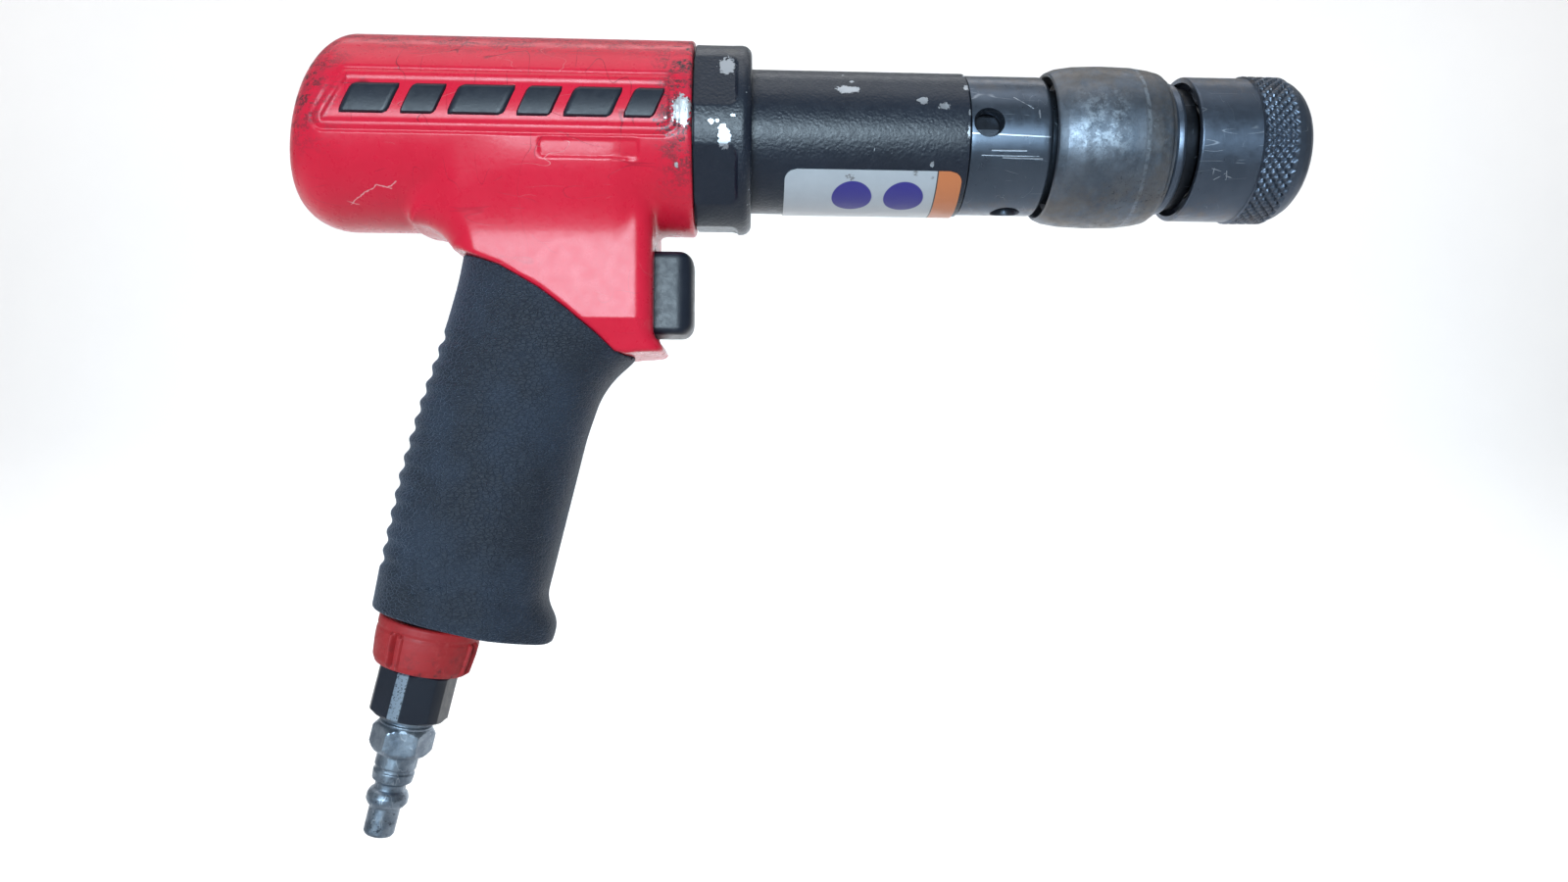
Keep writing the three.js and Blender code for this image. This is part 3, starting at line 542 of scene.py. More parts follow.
    def stroke(self, start, end, width, wander=0.5):
        """A thin scratch between two points."""
        a, b = Vector(start), Vector(end)
        way = b - a
        wave = self.node("ShaderNodeTexNoise", {"Vector": self.mm, "Scale": 0.5}).outputs["Color"]
        bent = self.vector("ADD", self.mm, self.vector("SCALE", wave, scale=wander))
        shift = self.vector("SUBTRACT", bent, tuple(a + Vector((0.5, 0.5, 0.5)) * wander))
        dot = self.vector("DOT_PRODUCT", shift, tuple(way / way.length_squared))
        share = self.node("ShaderNodeClamp", {0: dot, 1: 0.0, 2: 1.0}).outputs[0]
        foot = self.vector("SCALE", tuple(way), scale=share)
        return self.fall(self.vector("DISTANCE", shift, foot), width * 0.5, width)

    def bump(self, height, depth, normal=None):
        inputs = {"Height": height, "Distance": depth * MM, "Strength": 1.0}
        if normal is not None:
            inputs["Normal"] = normal
        return self.node("ShaderNodeBump", inputs).outputs[0]

    def finish(self, rough, normal=None, metal=None):
        self.tree.links.new(self.paint, self.shader.inputs["Base Color"])
        self.tree.links.new(rough, self.shader.inputs["Roughness"])
        if normal is not None:
            self.tree.links.new(normal, self.shader.inputs["Normal"])
        if metal is not None:
            self.tree.links.new(metal, self.shader.inputs["Metallic"])
        return self.material


HOUSING_SCRATCHES = [
    ((-37.4, -13.2, 64.0), (-34.8, -15.3, 65.5)), ((-34.8, -15.3, 65.5), (-31.4, -17.1, 67.0)),
    ((-31.4, -17.1, 67.0), (-28.6, -18.4, 68.3)), ((-28.6, -18.4, 68.3), (-25.2, -17.7, 67.5)),
    ((-26.0, -18.0, 67.7), (-23.8, -19.0, 68.9)), ((-37.6, -14.8, 65.1), (-35.0, -13.6, 64.3)),
]


def red_paint():
    look = Look("red_paint", coat_weight=0.12, coat_roughness=0.08, specular_ior_level=0.3)
    broad = look.noise(0.045, 3.0, 0.55)
    look.base(broad, (0.66, 0.010, 0.034), (0.78, 0.020, 0.058))
    rear = look.both(look.fall(look.x, -47.0, -30.0), look.ramp(look.x, -52.0, -46.0, 0.45, 1.0))
    upper = look.ramp(look.z, 70.0, 92.0)
    top = look.ramp(look.z, 98.0, 109.0)
    front = look.both(look.ramp(look.x, 38.0, 49.0), look.ramp(look.z, 60.0, 84.0))
    top = look.both(top, look.ramp(look.x, -60.0, 60.0, 0.75, 0.55))
    zone = look.either(look.both(rear, upper), top, front)
    smear = look.ramp(look.noise(0.16, 6.0, 0.68, look.stretched(1.0, 1.6, 2.4)), 0.44, 0.57)
    dirt = look.both(zone, smear, look.patches(1.1, 5.0, 0.75, 0.44, 0.53))
    haze = look.both(zone, look.patches(0.5, 6.0, 0.7, 0.4, 0.65, 0.0, 0.55))
    look.layer(haze, (0.33, 0.03, 0.055))
    look.layer(dirt, (0.045, 0.03, 0.036))
    hairs = look.either(
        look.hair(0.14, 0.006, look.stretched(0.25, 1.0, 1.0), 0.5, 0.58),
        look.hair(0.12, 0.005, look.stretched(1.0, 0.4, 0.35), 0.5, 0.58),
    )
    hairs = look.both(hairs, look.ramp(look.z, 58.0, 96.0, 0.25, 1.0))
    look.layer(look.both(hairs, 0.7), (0.12, 0.008, 0.02))
    pale = look.hair(0.1, 0.0022, look.stretched(0.6, 1.0, 1.6), 0.57, 0.62)
    squiggle = look.either(*[look.stroke(a, b, 0.22, 1.2) for a, b in HOUSING_SCRATCHES])
    look.layer(look.both(look.either(pale, squiggle), 0.75), (0.86, 0.42, 0.42))
    chip = look.either(
        look.spot((48.6, -25.7, 86.4), 2.3, 0.62, 2.2), look.spot((47.9, -25.6, 90.6), 0.5, 1.0, 0.6),
        look.spot((47.2, -22.4, 73.7), 0.5, 0.6, 0.5), look.spot((44.6, -25.7, 84.3), 0.5, 0.7, 1.0))
    bruise = look.spot((46.6, -25.4, 85.0), 4.6, 0.8, 4.4, 0.5)
    bruise = look.both(bruise, look.patches(1.6, 4.0, 0.7, 0.45, 0.6))
    look.layer(bruise, (0.05, 0.04, 0.05))
    look.layer(chip, (0.62, 0.64, 0.66))
    rough = look.patches(0.35, 4.0, 0.6, 0.3, 0.8, 0.26, 0.36)
    rough = look.math("ADD", rough, look.both(look.either(dirt, haze), 0.25))
    normal = look.bump(look.noise(0.75, 2.0, 0.5), 0.035)
    normal = look.bump(look.either(hairs, pale, squiggle, dirt), -0.03, normal)
    return look.finish(rough, normal, look.both(chip, 0.95))


def grip_rubber():
    look = Look("grip_rubber", sheen_weight=0.25, sheen_roughness=0.5, sheen_tint=(0.55, 0.68, 0.9, 1),
                specular_ior_level=0.42)
    broad = look.noise(0.05, 4.0, 0.6)
    look.base(look.ramp(broad, 0.35, 0.65), (0.007, 0.012, 0.023), (0.017, 0.028, 0.050))
    rubbed = look.patches(0.5, 6.0, 0.75, 0.56, 0.72)
    look.layer(look.both(rubbed, look.ramp(broad, 0.45, 0.7)), (0.06, 0.08, 0.105))
    pocks = look.patches(0.9, 3.0, 0.6, 0.68, 0.74)
    look.layer(pocks, (0.008, 0.009, 0.012))
    rough = look.ramp(broad, 0.3, 0.7, 0.56, 0.68)
    weave = look.stretched(0.75, 0.75, 1.35)
    leather = look.cells(1.15, weave, "SMOOTH_F1")
    crease = look.cells(0.9, weave, "DISTANCE_TO_EDGE")
    grain = look.math("ADD", look.both(leather, 0.6), look.ramp(crease, 0.0, 0.16))
    normal = look.bump(grain, 0.2)
    normal = look.bump(look.noise(2.0, 4.0, 0.7), 0.16, normal)
    return look.finish(rough, normal)


CHIPS = [  # place, reach, and how much shorter they are in height
    ((59.7, -20.7, 100.2), 2.1, 0.75), ((58.6, -24.5, 82.6), 1.1, 1.0), ((59.2, -24.4, 80.0), 1.6, 0.6),
    ((56.0, -24.8, 84.0), 0.8, 1.0), ((57.4, -24.6, 84.2), 0.6, 1.0), ((61.2, -24.9, 85.6), 0.7, 1.6),
    ((57.2, -24.0, 92.9), 0.35, 1.0), ((64.9, -24.3, 91.8), 0.35, 1.0), ((51.6, -22.5, 97.0), 0.6, 0.8),
    ((65.4, -15.0, 106.1), 0.4, 1.0), ((90.5, -16.5, 95.7), 2.6, 1.9), ((93.0, -16.3, 95.6), 1.2, 1.2),
    ((92.1, -14.6, 98.5), 0.6, 1.3), ((110.4, -17.9, 92.6), 1.5, 1.5), ((116.0, -18.4, 91.1), 1.5, 1.5),
    ((122.2, -15.7, 97.0), 0.9, 0.8), ((122.6, -18.9, 84.2), 0.7, 0.45), ((122.6, -18.7, 89.5), 0.4, 0.6),
    ((122.5, -11.0, 101.8), 0.5, 0.8), ((113.1, -16.3, 76.5), 0.45, 0.7), ((90.0, -12.0, 101.0), 0.3, 1.0),
    ((100.0, 14.0, 99.0), 1.2, 1.4), ((60.0, 20.0, 100.0), 1.4, 1.0), ((80.0, 18.0, 80.0), 0.9, 1.5),
]


def black_paint():
    look = Look("black_paint", coat_weight=0.2, coat_roughness=0.28, coat_tint=(0.75, 0.88, 1.0, 1.0),
                specular_ior_level=0.45)
    broad = look.noise(0.07, 3.0, 0.6)
    look.base(broad, (0.005, 0.009, 0.018), (0.012, 0.019, 0.034))
    dust = look.patches(0.9, 5.0, 0.75, 0.6, 0.78, 0.0, 0.5)
    look.layer(dust, (0.06, 0.07, 0.085))
    brown = look.both(look.patches(0.3, 4.0, 0.6, 0.45, 0.7), look.ramp(look.z, 101.0, 106.0, 0.0, 0.5))
    look.layer(brown, (0.06, 0.052, 0.038))
    chips = look.either(*[look.spot(p, size, tall, 0.9 * size + 0.25, 1.1) for p, size, tall in CHIPS])
    edges = look.either(look.band(look.x, 65.6, 0.3, 0.8), look.band(look.x, 122.7, 0.1, 0.5))
    rims = look.both(look.patches(0.8, 5.0, 0.75, 0.63, 0.67), edges)
    mark = look.stroke((97.7, -17.7, 79.2), (98.6, -18.3, 82.4), 0.16, 0.4)
    bare = look.either(chips, rims, mark)
    look.layer(bare, (0.50, 0.53, 0.57))
    rough = look.patches(0.5, 3.0, 0.6, 0.3, 0.7, 0.33, 0.45)
    wrinkle = look.math("ADD", look.cells(1.25, None, "SMOOTH_F1"), look.noise(1.7, 3.0, 0.55))
    painted = look.math("SUBTRACT", 1.0, bare)
    normal = look.bump(look.both(look.math("ADD", wrinkle, 1.0), painted), 0.09)
    return look.finish(rough, normal, look.both(bare, 0.9))


def blued_steel(name, dark, pale, rough_low, rough_high, brown, marks=()):
    """Blued steel with turning marks, brown bloom and bright scratches."""
    look = Look(name, metallic=0.85, specular_ior_level=0.6)
    broad = look.noise(0.08, 4.0, 0.6, look.stretched(1.0, 0.6, 0.6))
    look.base(broad, dark, pale)
    bloom = look.patches(0.22, 6.0, 0.7, 0.42, 0.68, 0.0, brown)
    high = look.either(look.ramp(look.z, 92.0, 105.0, 0.0, 1.0), look.ramp(look.z, 66.0, 72.0, 0.8, 0.0))
    look.layer(look.both(bloom, high), (0.17, 0.125, 0.085))
    hairs = look.either(
        look.hair(0.2, 0.006, look.stretched(0.15, 1.0, 1.0), 0.52, 0.6),
        look.hair(0.3, 0.004, look.stretched(1.0, 0.5, 0.5), 0.58, 0.64))
    hairs = look.both(hairs, look.ramp(broad, 0, 1, 0.35, 0.6))
    scratch = look.either(hairs, *[look.stroke(*mark) for mark in marks])
    look.layer(scratch, (0.42, 0.47, 0.54))
    pits = look.patches(1.5, 3.0, 0.6, 0.70, 0.74)
    look.layer(pits, (0.02, 0.02, 0.022))
    rough = look.patches(0.4, 5.0, 0.65, 0.3, 0.75, rough_low, rough_high)
    lathe = look.noise(1.0, 2.0, 0.5, look.stretched(6.0, 0.15, 0.15))
    normal = look.bump(lathe, 0.008)
    normal = look.bump(look.either(scratch, pits), -0.02, normal)
    return look.finish(rough, normal)


def worn_steel():
    look = Look("worn_steel", metallic=0.85, specular_ior_level=0.6)
    broad = look.noise(0.09, 5.0, 0.65)
    look.base(look.ramp(broad, 0.3, 0.7), (0.095, 0.120, 0.155), (0.17, 0.20, 0.245))
    brown = look.either(look.ramp(look.z, 90.0, 106.0, 0.12, 1.0), look.ramp(look.z, 66.0, 76.0, 0.8, 0.1),
                        look.ramp(look.x, 164.0, 174.0, 0.0, 0.6))
    patina = look.both(brown, look.patches(0.16, 7.0, 0.72, 0.36, 0.62))
    look.layer(look.both(patina, 0.75), (0.185, 0.155, 0.125))
    # Painted highlight: a patchy blue-grey sheen band round the ring's middle height, laid in as colour.
    sheen_band = look.both(look.ramp(look.z, 74.0, 84.0), look.fall(look.z, 90.0, 99.0))
    sheen_patches = look.patches(0.35, 8.0, 0.75, 0.46, 0.6)
    band = look.band(look.x, 157.0, 3.0, 9.0)
    streak = look.band(look.x, look.math("ADD", 168.2, look.noise(0.2, 3.0, 0.6)), 0.25, 0.7)
    streak = look.both(streak, look.patches(0.7, 5.0, 0.7, 0.36, 0.56))
    streak = look.both(streak, look.ramp(look.z, 70.0, 100.0, 0.5, 1.0))
    # The bright layer is the painted sheen band together with the bright streak line round the ring.
    bright = look.either(look.both(sheen_band, sheen_patches, band), streak)
    look.layer(look.both(bright, look.ramp(broad, 0, 1, 0.45, 0.6)), (0.44, 0.51, 0.59))
    pitted = look.either(look.both(look.fall(look.z, 70.0, 78.0), look.ramp(look.x, 155.0, 161.0)), 0.12)
    pits = look.both(look.patches(1.3, 6.0, 0.8, 0.57, 0.64), pitted)
    look.layer(pits, (0.022, 0.02, 0.02))
    rough = look.patches(0.45, 6.0, 0.7, 0.3, 0.75, 0.34, 0.56)
    normal = look.bump(look.noise(0.8, 7.0, 0.7), 0.03)
    normal = look.bump(pits, -0.12, normal)
    normal = look.bump(look.noise(1.0, 2.0, 0.5, look.stretched(5.0, 0.1, 0.1)), 0.01, normal)
    return look.finish(rough, normal)


def zinc_plate():
    look = Look("zinc_plate", metallic=0.88, specular_ior_level=0.6)
    broad = look.noise(0.25, 4.0, 0.6)
    look.base(look.ramp(broad, 0.3, 0.7), (0.15, 0.19, 0.245), (0.32, 0.38, 0.45))
    # Darker patches, strongest towards the bottom end of the plug.
    dark_patches = look.patches(0.85, 7.0, 0.78, 0.52, 0.66)
    low = look.ramp(look.z, -100.0, -78.0, 1.0, 0.25)
    look.layer(look.both(dark_patches, low), (0.05, 0.06, 0.08))
    scrape = look.hair(0.5, 0.02, look.stretched(1.0, 1.0, 0.3), 0.48, 0.58)
    look.layer(look.both(scrape, 0.6), (0.6, 0.66, 0.72))
    rough = look.patches(0.7, 5.0, 0.7, 0.3, 0.75, 0.28, 0.5)
    normal = look.bump(look.noise(1.4, 6.0, 0.75), 0.05)
    return look.finish(rough, normal)


def red_plastic():
    look = Look("red_plastic", specular_ior_level=0.4)
    broad = look.noise(0.12, 4.0, 0.6)
    look.base(broad, (0.34, 0.016, 0.020), (0.46, 0.030, 0.034))
    pale = look.patches(0.6, 6.0, 0.7, 0.52, 0.75, 0.0, 0.35)
    look.layer(pale, (0.55, 0.10, 0.10))
    low = look.ramp(look.z, -60.0, -50.0, 1.0, 0.25)
    dirt = look.both(low, look.patches(0.35, 8.0, 0.8, 0.52, 0.64))
    look.layer(dirt, (0.085, 0.022, 0.025))
    rough = look.patches(0.8, 4.0, 0.6, 0.3, 0.7, 0.48, 0.64)
    normal = look.bump(look.noise(1.8, 5.0, 0.7), 0.05)
    return look.finish(rough, normal)


def black_plastic(name, patch=None):
    """Moulded black plastic, or with a patch the bushing's worn corner."""
    look = Look(name, specular_ior_level=0.5)
    broad = look.noise(0.15, 4.0, 0.6)
    look.base(broad, (0.006, 0.010, 0.019), (0.013, 0.019, 0.033))
    specks = look.patches(1.6, 4.0, 0.7, 0.68, 0.72, 0.0, 0.6)
    look.layer(specks, (0.10, 0.11, 0.12))
    rough = look.patches(0.5, 5.0, 0.65, 0.3, 0.75, 0.33, 0.46)
    if patch:
        middle, reach = patch
        forward = look.math("SUBTRACT", look.both(look.x, RAKE_COS), look.both(look.z, RAKE_SIN))
        bare = look.both(look.band(forward, middle, reach, reach + 0.12), look.fall(look.y, -9.6, -9.3))
        bare = look.both(bare, look.patches(1.5, 5.0, 0.75, 0.40, 0.46))
        look.layer(bare, (0.20, 0.25, 0.31))
    normal = look.bump(look.noise(2.2, 4.0, 0.65), 0.035)
    return look.finish(rough, normal)


def sticker():
    """A laminated sticker with two plain discs and a plain end band."""
    look = Look("sticker", coat_weight=0.3, coat_roughness=0.15, specular_ior_level=0.5)
    place = look.node("ShaderNodeUVMap", {}, uv_map="place").outputs[0]
    split = look.node("ShaderNodeSeparateXYZ", {0: look.vector("SCALE", place, scale=100.0)})
    along, across = split.outputs[0], split.outputs[1]
    cloud = look.noise(0.2, 5.0, 0.65)
    look.base(cloud, (0.40, 0.43, 0.47), (0.50, 0.53, 0.57))
    flat = look.node("ShaderNodeCombineXYZ", {0: along, 1: across}).outputs[0]
    discs = []
    for centre in ((18.0, 8.4, 0.0), (31.8, 8.4, 0.0)):
        gap = look.vector("DISTANCE", flat, centre)
        discs.append(look.fall(gap, 5.2, 5.45))
    look.layer(look.either(*discs), (0.03, 0.025, 0.24))
    look.layer(look.ramp(along, 40.1, 40.3), (0.60, 0.19, 0.07))
    look.layer(look.band(along, 40.1, 0.12, 0.22), (0.05, 0.05, 0.05))
    stains = look.either(
        look.near((92.0, -14.6, 73.4), 1.0, 1.6, 0.8), look.near((109.0, -15.4, 74.6), 0.8, 1.2, 0.8),
        look.near((113.6, -14.6, 73.6), 0.35, 0.5))
    look.layer(look.both(stains, look.patches(1.5, 4.0, 0.7, 0.4, 0.55)), (0.2, 0.2, 0.21))
    rough = look.ramp(cloud, 0.3, 0.7, 0.34, 0.46)
    normal = look.bump(look.noise(0.6, 3.0, 0.6), 0.03)
    return look.finish(rough, normal)


def plain_steel(name, dark, pale, rough_low, rough_high, metal=1.0):
    """Ground or drawn steel, and the seals, for the pieces inside."""
    look = Look(name, metallic=metal)
    look.base(look.noise(0.3, 4.0, 0.6), dark, pale)
    rough = look.patches(0.8, 4.0, 0.6, 0.3, 0.7, rough_low, rough_high)
    normal = look.bump(look.noise(1.2, 3.0, 0.5, look.stretched(4.0, 0.3, 0.3)), 0.01)
    return look.finish(rough, normal)


def studio_floor():
    look = Look("studio_floor", specular_ior_level=0.2)
    look.base(look.noise(0.01, 2.0, 0.5), (0.86, 0.86, 0.865), (0.88, 0.88, 0.88))
    rough = look.patches(0.05, 2.0, 0.5, 0.3, 0.7, 0.8, 0.9)
    return look.finish(rough)


# scratches: start, end, width and how much they wander
NOSE_MARKS = [
    ((122.9, -18.4, 84.3), (143.6, -18.2, 83.7), 0.28, 0.15),
    ((128.6, -17.5, 80.2), (137.6, -17.5, 80.2), 0.22, 0.1),
    ((131.6, -16.8, 78.5), (142.0, -16.7, 78.4), 0.22, 0.1),
    ((126.0, -17.0, 79.0), (141.0, -16.9, 79.0), 0.14, 0.1),
    ((134.5, -16.6, 94.4), (139.4, -17.9, 91.2), 0.16, 0.3),
    ((140.8, -18.0, 92.4), (141.0, -18.2, 88.6), 0.3, 0.8),
]
SLEEVE_MARKS = [
    ((187.0, -16.8, 76.6), (189.6, -16.4, 76.0), 0.13, 0.4),
    ((189.8, -15.8, 75.4), (193.4, -15.2, 74.6), 0.13, 0.5),
    ((188.2, -15.0, 74.2), (191.0, -16.0, 75.6), 0.12, 0.5),
    ((187.6, -16.8, 76.6), (187.9, -13.6, 72.8), 0.13, 0.4),
    ((191.2, -16.4, 76.2), (191.6, -15.0, 74.2), 0.12, 0.6),
]

RED_PAINT = red_paint()
RUBBER = grip_rubber()
BLACK_PAINT = black_paint()
NOSE_STEEL = blued_steel("nose_steel", (0.075, 0.098, 0.135), (0.12, 0.15, 0.195), 0.27, 0.4, 0.5, NOSE_MARKS)
CHUCK_STEEL = blued_steel(
    "chuck_steel", (0.070, 0.092, 0.130), (0.125, 0.155, 0.205), 0.32, 0.45, 0.6, SLEEVE_MARKS)
# Painted shade: this steel is made far darker than the other blued steel, so the core shows as the shade in
# the gap between ring and sleeve.
SHADED_CORE_STEEL = blued_steel("core_steel_painted_shade", (0.015, 0.018, 0.024), (0.03, 0.035, 0.045), 0.3, 0.45, 0.3)
WORN_STEEL = worn_steel()
ZINC = zinc_plate()
RED_PLASTIC = red_plastic()
TRIGGER_PLASTIC = black_plastic("trigger_plastic")
BUSHING_PLASTIC = black_plastic("bushing_plastic", (-9.25, 1.45))
BLACK_INLAY = black_plastic("black_inlay")
STICKER = sticker()
GROUND_STEEL = plain_steel("ground_steel", (0.36, 0.38, 0.40), (0.48, 0.5, 0.52), 0.22, 0.34)
SPRING_STEEL = plain_steel("spring_steel", (0.2, 0.21, 0.22), (0.32, 0.33, 0.35), 0.28, 0.4)
FLOOR_LOOK = studio_floor()
SEAL_RUBBER = plain_steel("seal_rubber", (0.006, 0.006, 0.007), (0.014, 0.014, 0.015), 0.6, 0.75, 0.0)


# ---------- pieces that stand for CAD nodes
def stands_for(piece, node, body):
    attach(piece, body)
    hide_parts(node)
    return piece


def field_piece(name, node, material, field, low, high, step, body="gun_body"):
    points, quads = surface_net(field, low, high, step)
    stands_for(add_mesh(name, points, quads, material), node, body)


def make_field_pieces():
    fine = 0.6
    field_piece("housing_skin", "housing", RED_PAINT, housing_field,
                (-56, -26.6, -55), (52, 26.6, 113), fine)
    make_panel_bars()
    field_piece("grip_skin", "grip", RUBBER, grip_field, (-40, -18, -56), (45, 18, 58), fine)
    field_piece("trigger_pad", "trigger", TRIGGER_PLASTIC, trigger_field,
                (33.5, -8, 32), (52, 8, 55.5), 0.45, "trigger_assembly")


def make_panel_bars():
    """Plain slanted black bars inside the cast panel, as inlaid paint."""
    points, faces = [], []
    radius = HOUSING_R - 0.06
    bars = [(-36.5, 12.5), (-21.5, 9.0), (-10.0, 14.5), (7.0, 9.0), (18.5, 12.5), (33.5, 8.0)]
    low, high, slant = 84.2, 92.3, 0.42
    for side in (-1, 1):
        for start, length in bars:
            base = len(points)
            columns, rows = 14, 12
            for i in range(rows + 1):
                t = i / rows
                z = low + (high - low) * t
                squeeze = 0.9 * max(0.0, abs(2 * t - 1) - 0.72) / 0.28
                for j in range(columns + 1):
                    s = j / columns
                    x = start + squeeze * 0.6 + (length - squeeze * 1.2) * s + (z - low) * slant
                    rim = min(s, 1 - s, t, 1 - t)
                    lift = radius - (0.6 if rim <= 0 else 0.0)
                    up = z - BARREL
                    points.append((x, side * math.sqrt(lift * lift - up * up), z))
            stride = columns + 1
            for i in range(rows):
                for j in range(columns):
                    a = base + i * stride + j
                    quad = (a, a + 1, a + 1 + stride, a + stride)
                    faces.append(quad if side < 0 else quad[::-1])
    piece = add_mesh("panel_bars", points, faces, BLACK_INLAY, 40)
    piece.modifiers.new("thickness", "SOLIDIFY").thickness = 0.0003
    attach(piece, "gun_body")


def collar_flats(station, radius, spin):
    """Six wrench flats, each with a rounded front end, milled into the collar's rim."""
    sector = math.radians(60)
    away = (spin - math.radians(23) + sector / 2) % sector - sector / 2
    sideways = 24.9 * np.sin(away)
    flat = 23.55 / np.cos(away)
    inside = rounded_box(station - 54.0, sideways, 8.4, 8.6, 3.6)
    cut = np.where(station < 54, np.where(station > 51.3, 1.0, 0.0), 1 - smooth(inside, -0.35, 0.05))
    lower = np.minimum(radius, flat)
    return station, np.where(radius > 22.5, radius + (lower - radius) * cut, radius)


def knurled(station, radius, spin):
    """Raised diamonds on the band of the sliding sleeve."""
    band = smooth(station, 199.9, 200.4) * smooth(-station, -209.2, -208.6)
    turn = 44 * spin / (2 * np.pi)
    slide = (station - 200) / 2.5
    ways = [np.abs((turn + sign * slide) % 1.0 - 0.5) * 2 for sign in (-1, 1)]
    groove = np.minimum(1 - ways[0], 1 - ways[1])
    crest = np.clip(groove * 1.9, 0, 1)
    outer = radius > 19.4
    return station, np.where(outer, radius - band * 0.75 * (1 - crest), radius)


def make_label():
    """A rounded sticker that wraps the lower left of the barrel sleeve."""
    length, wrap = 46.6, math.radians(90)
    top, radius, corner = math.radians(-36), 19.25, 3.2
    rows, columns = 60, 56
    tall = wrap * radius
    points, places, faces = [], [], []
    for layer, reach in ((0, radius + 0.12), (1, radius - 0.2)):
        for i in range(rows + 1):
            down = tall * i / rows
            near_end = max(0.0, corner - min(down, tall - down))
            inset = corner - math.sqrt(max(0.0, corner * corner - near_end * near_end))
            for j in range(columns + 1):
                along = inset + (length - 2 * inset) * j / columns
                spin = top - down / radius
                points.append((74.8 + along, -reach * math.cos(spin), BARREL + reach * math.sin(spin)))
                places.append((along / 100, down / 100))
    stride, layer_size = columns + 1, (rows + 1) * (columns + 1)
    for i in range(rows):
        for j in range(columns):
            a = i * stride + j
            faces.append((a, a + stride, a + stride + 1, a + 1))
            b = a + layer_size
            faces.append((b, b + 1, b + stride + 1, b + stride))
    rim = list(range(columns)) + [i * stride + columns for i in range(rows)]
    rim += [rows * stride + j for j in range(columns, 0, -1)] + [i * stride for i in range(rows, 0, -1)]
    for a, b in zip(rim, rim[1:] + rim[:1]):
        faces.append((a, b, b + layer_size, a + layer_size))
    piece = add_mesh("blank_sticker", points, faces, STICKER, 40)
    layer = piece.data.uv_layers.new(name="place")
    for loop in piece.data.loops:
        layer.data[loop.index].uv = places[loop.vertex_index]
    stands_for(piece, "barrel_label", "gun_body")


def deflector_ribs(height, radius, spin):
    """Pairs of upright ribs with a groove between them, and the sunk seam under the top edge."""
    lift = np.zeros_like(radius)
    for middle in (-20, 76, 166, 256):
        away = (spin - math.radians(middle) + np.pi) % (2 * np.pi) - np.pi
        arc = away * 14
        ribs = (1 - smooth(np.abs(np.abs(arc) - 1.6) - 0.5, -0.25, 0.3))
        groove = 1 - smooth(np.abs(arc) - 0.7, -0.2, 0.35)
        lift = lift + 0.7 * ribs - 1.1 * groove
    tall = smooth(height, -60.2, -58.6) * smooth(-height, 50.4, 51.2)
    seam = 0.22 * (1 - smooth(np.abs(height + 50.6) - 0.15, 0.0, 0.2))
    outer = radius > 12
    return height, np.where(outer, radius + lift * tall - seam, radius)


def hexed(across, corner, low, high, turn, chamfer):
    """Limits a turned body to a hexagon between two heights, with chamfered ends."""
    def shape(height, radius, spin):
        sector = math.radians(60)
        away = (spin - math.radians(turn)) % sector - sector / 2
        flat = across / 2 / np.cos(away)
        end = np.minimum(height - low, high - height)
        cone = across / 2 - 0.15 + np.maximum(end, 0) * chamfer
        inside = (end > -1e-6) & (radius > across / 2 - 0.2)
        limit = np.minimum(np.minimum(flat, corner), cone)
        return height, np.where(inside, np.minimum(radius, limit), radius)
    return shape


def turned_piece(name, node, material, outline, sides, longest,
                 shape=None, flat_angle=35, about=about_barrel, body="gun_body", holes=()):
    """A turned body that stands for a CAD node, with round holes towards the barrel axis."""
    grid = turned_grid(outline, sides, shape, longest)
    points = np.stack(about(*grid), -1).reshape(-1, 3)
    piece = add_mesh(name, points, outward(points, grid_faces(*grid[0].shape)), material, flat_angle)
    if holes:
        drill(piece, [radial_pin(station, math.radians(angle), *sizes) for station, angle, *sizes in holes])
    stands_for(piece, node, body)


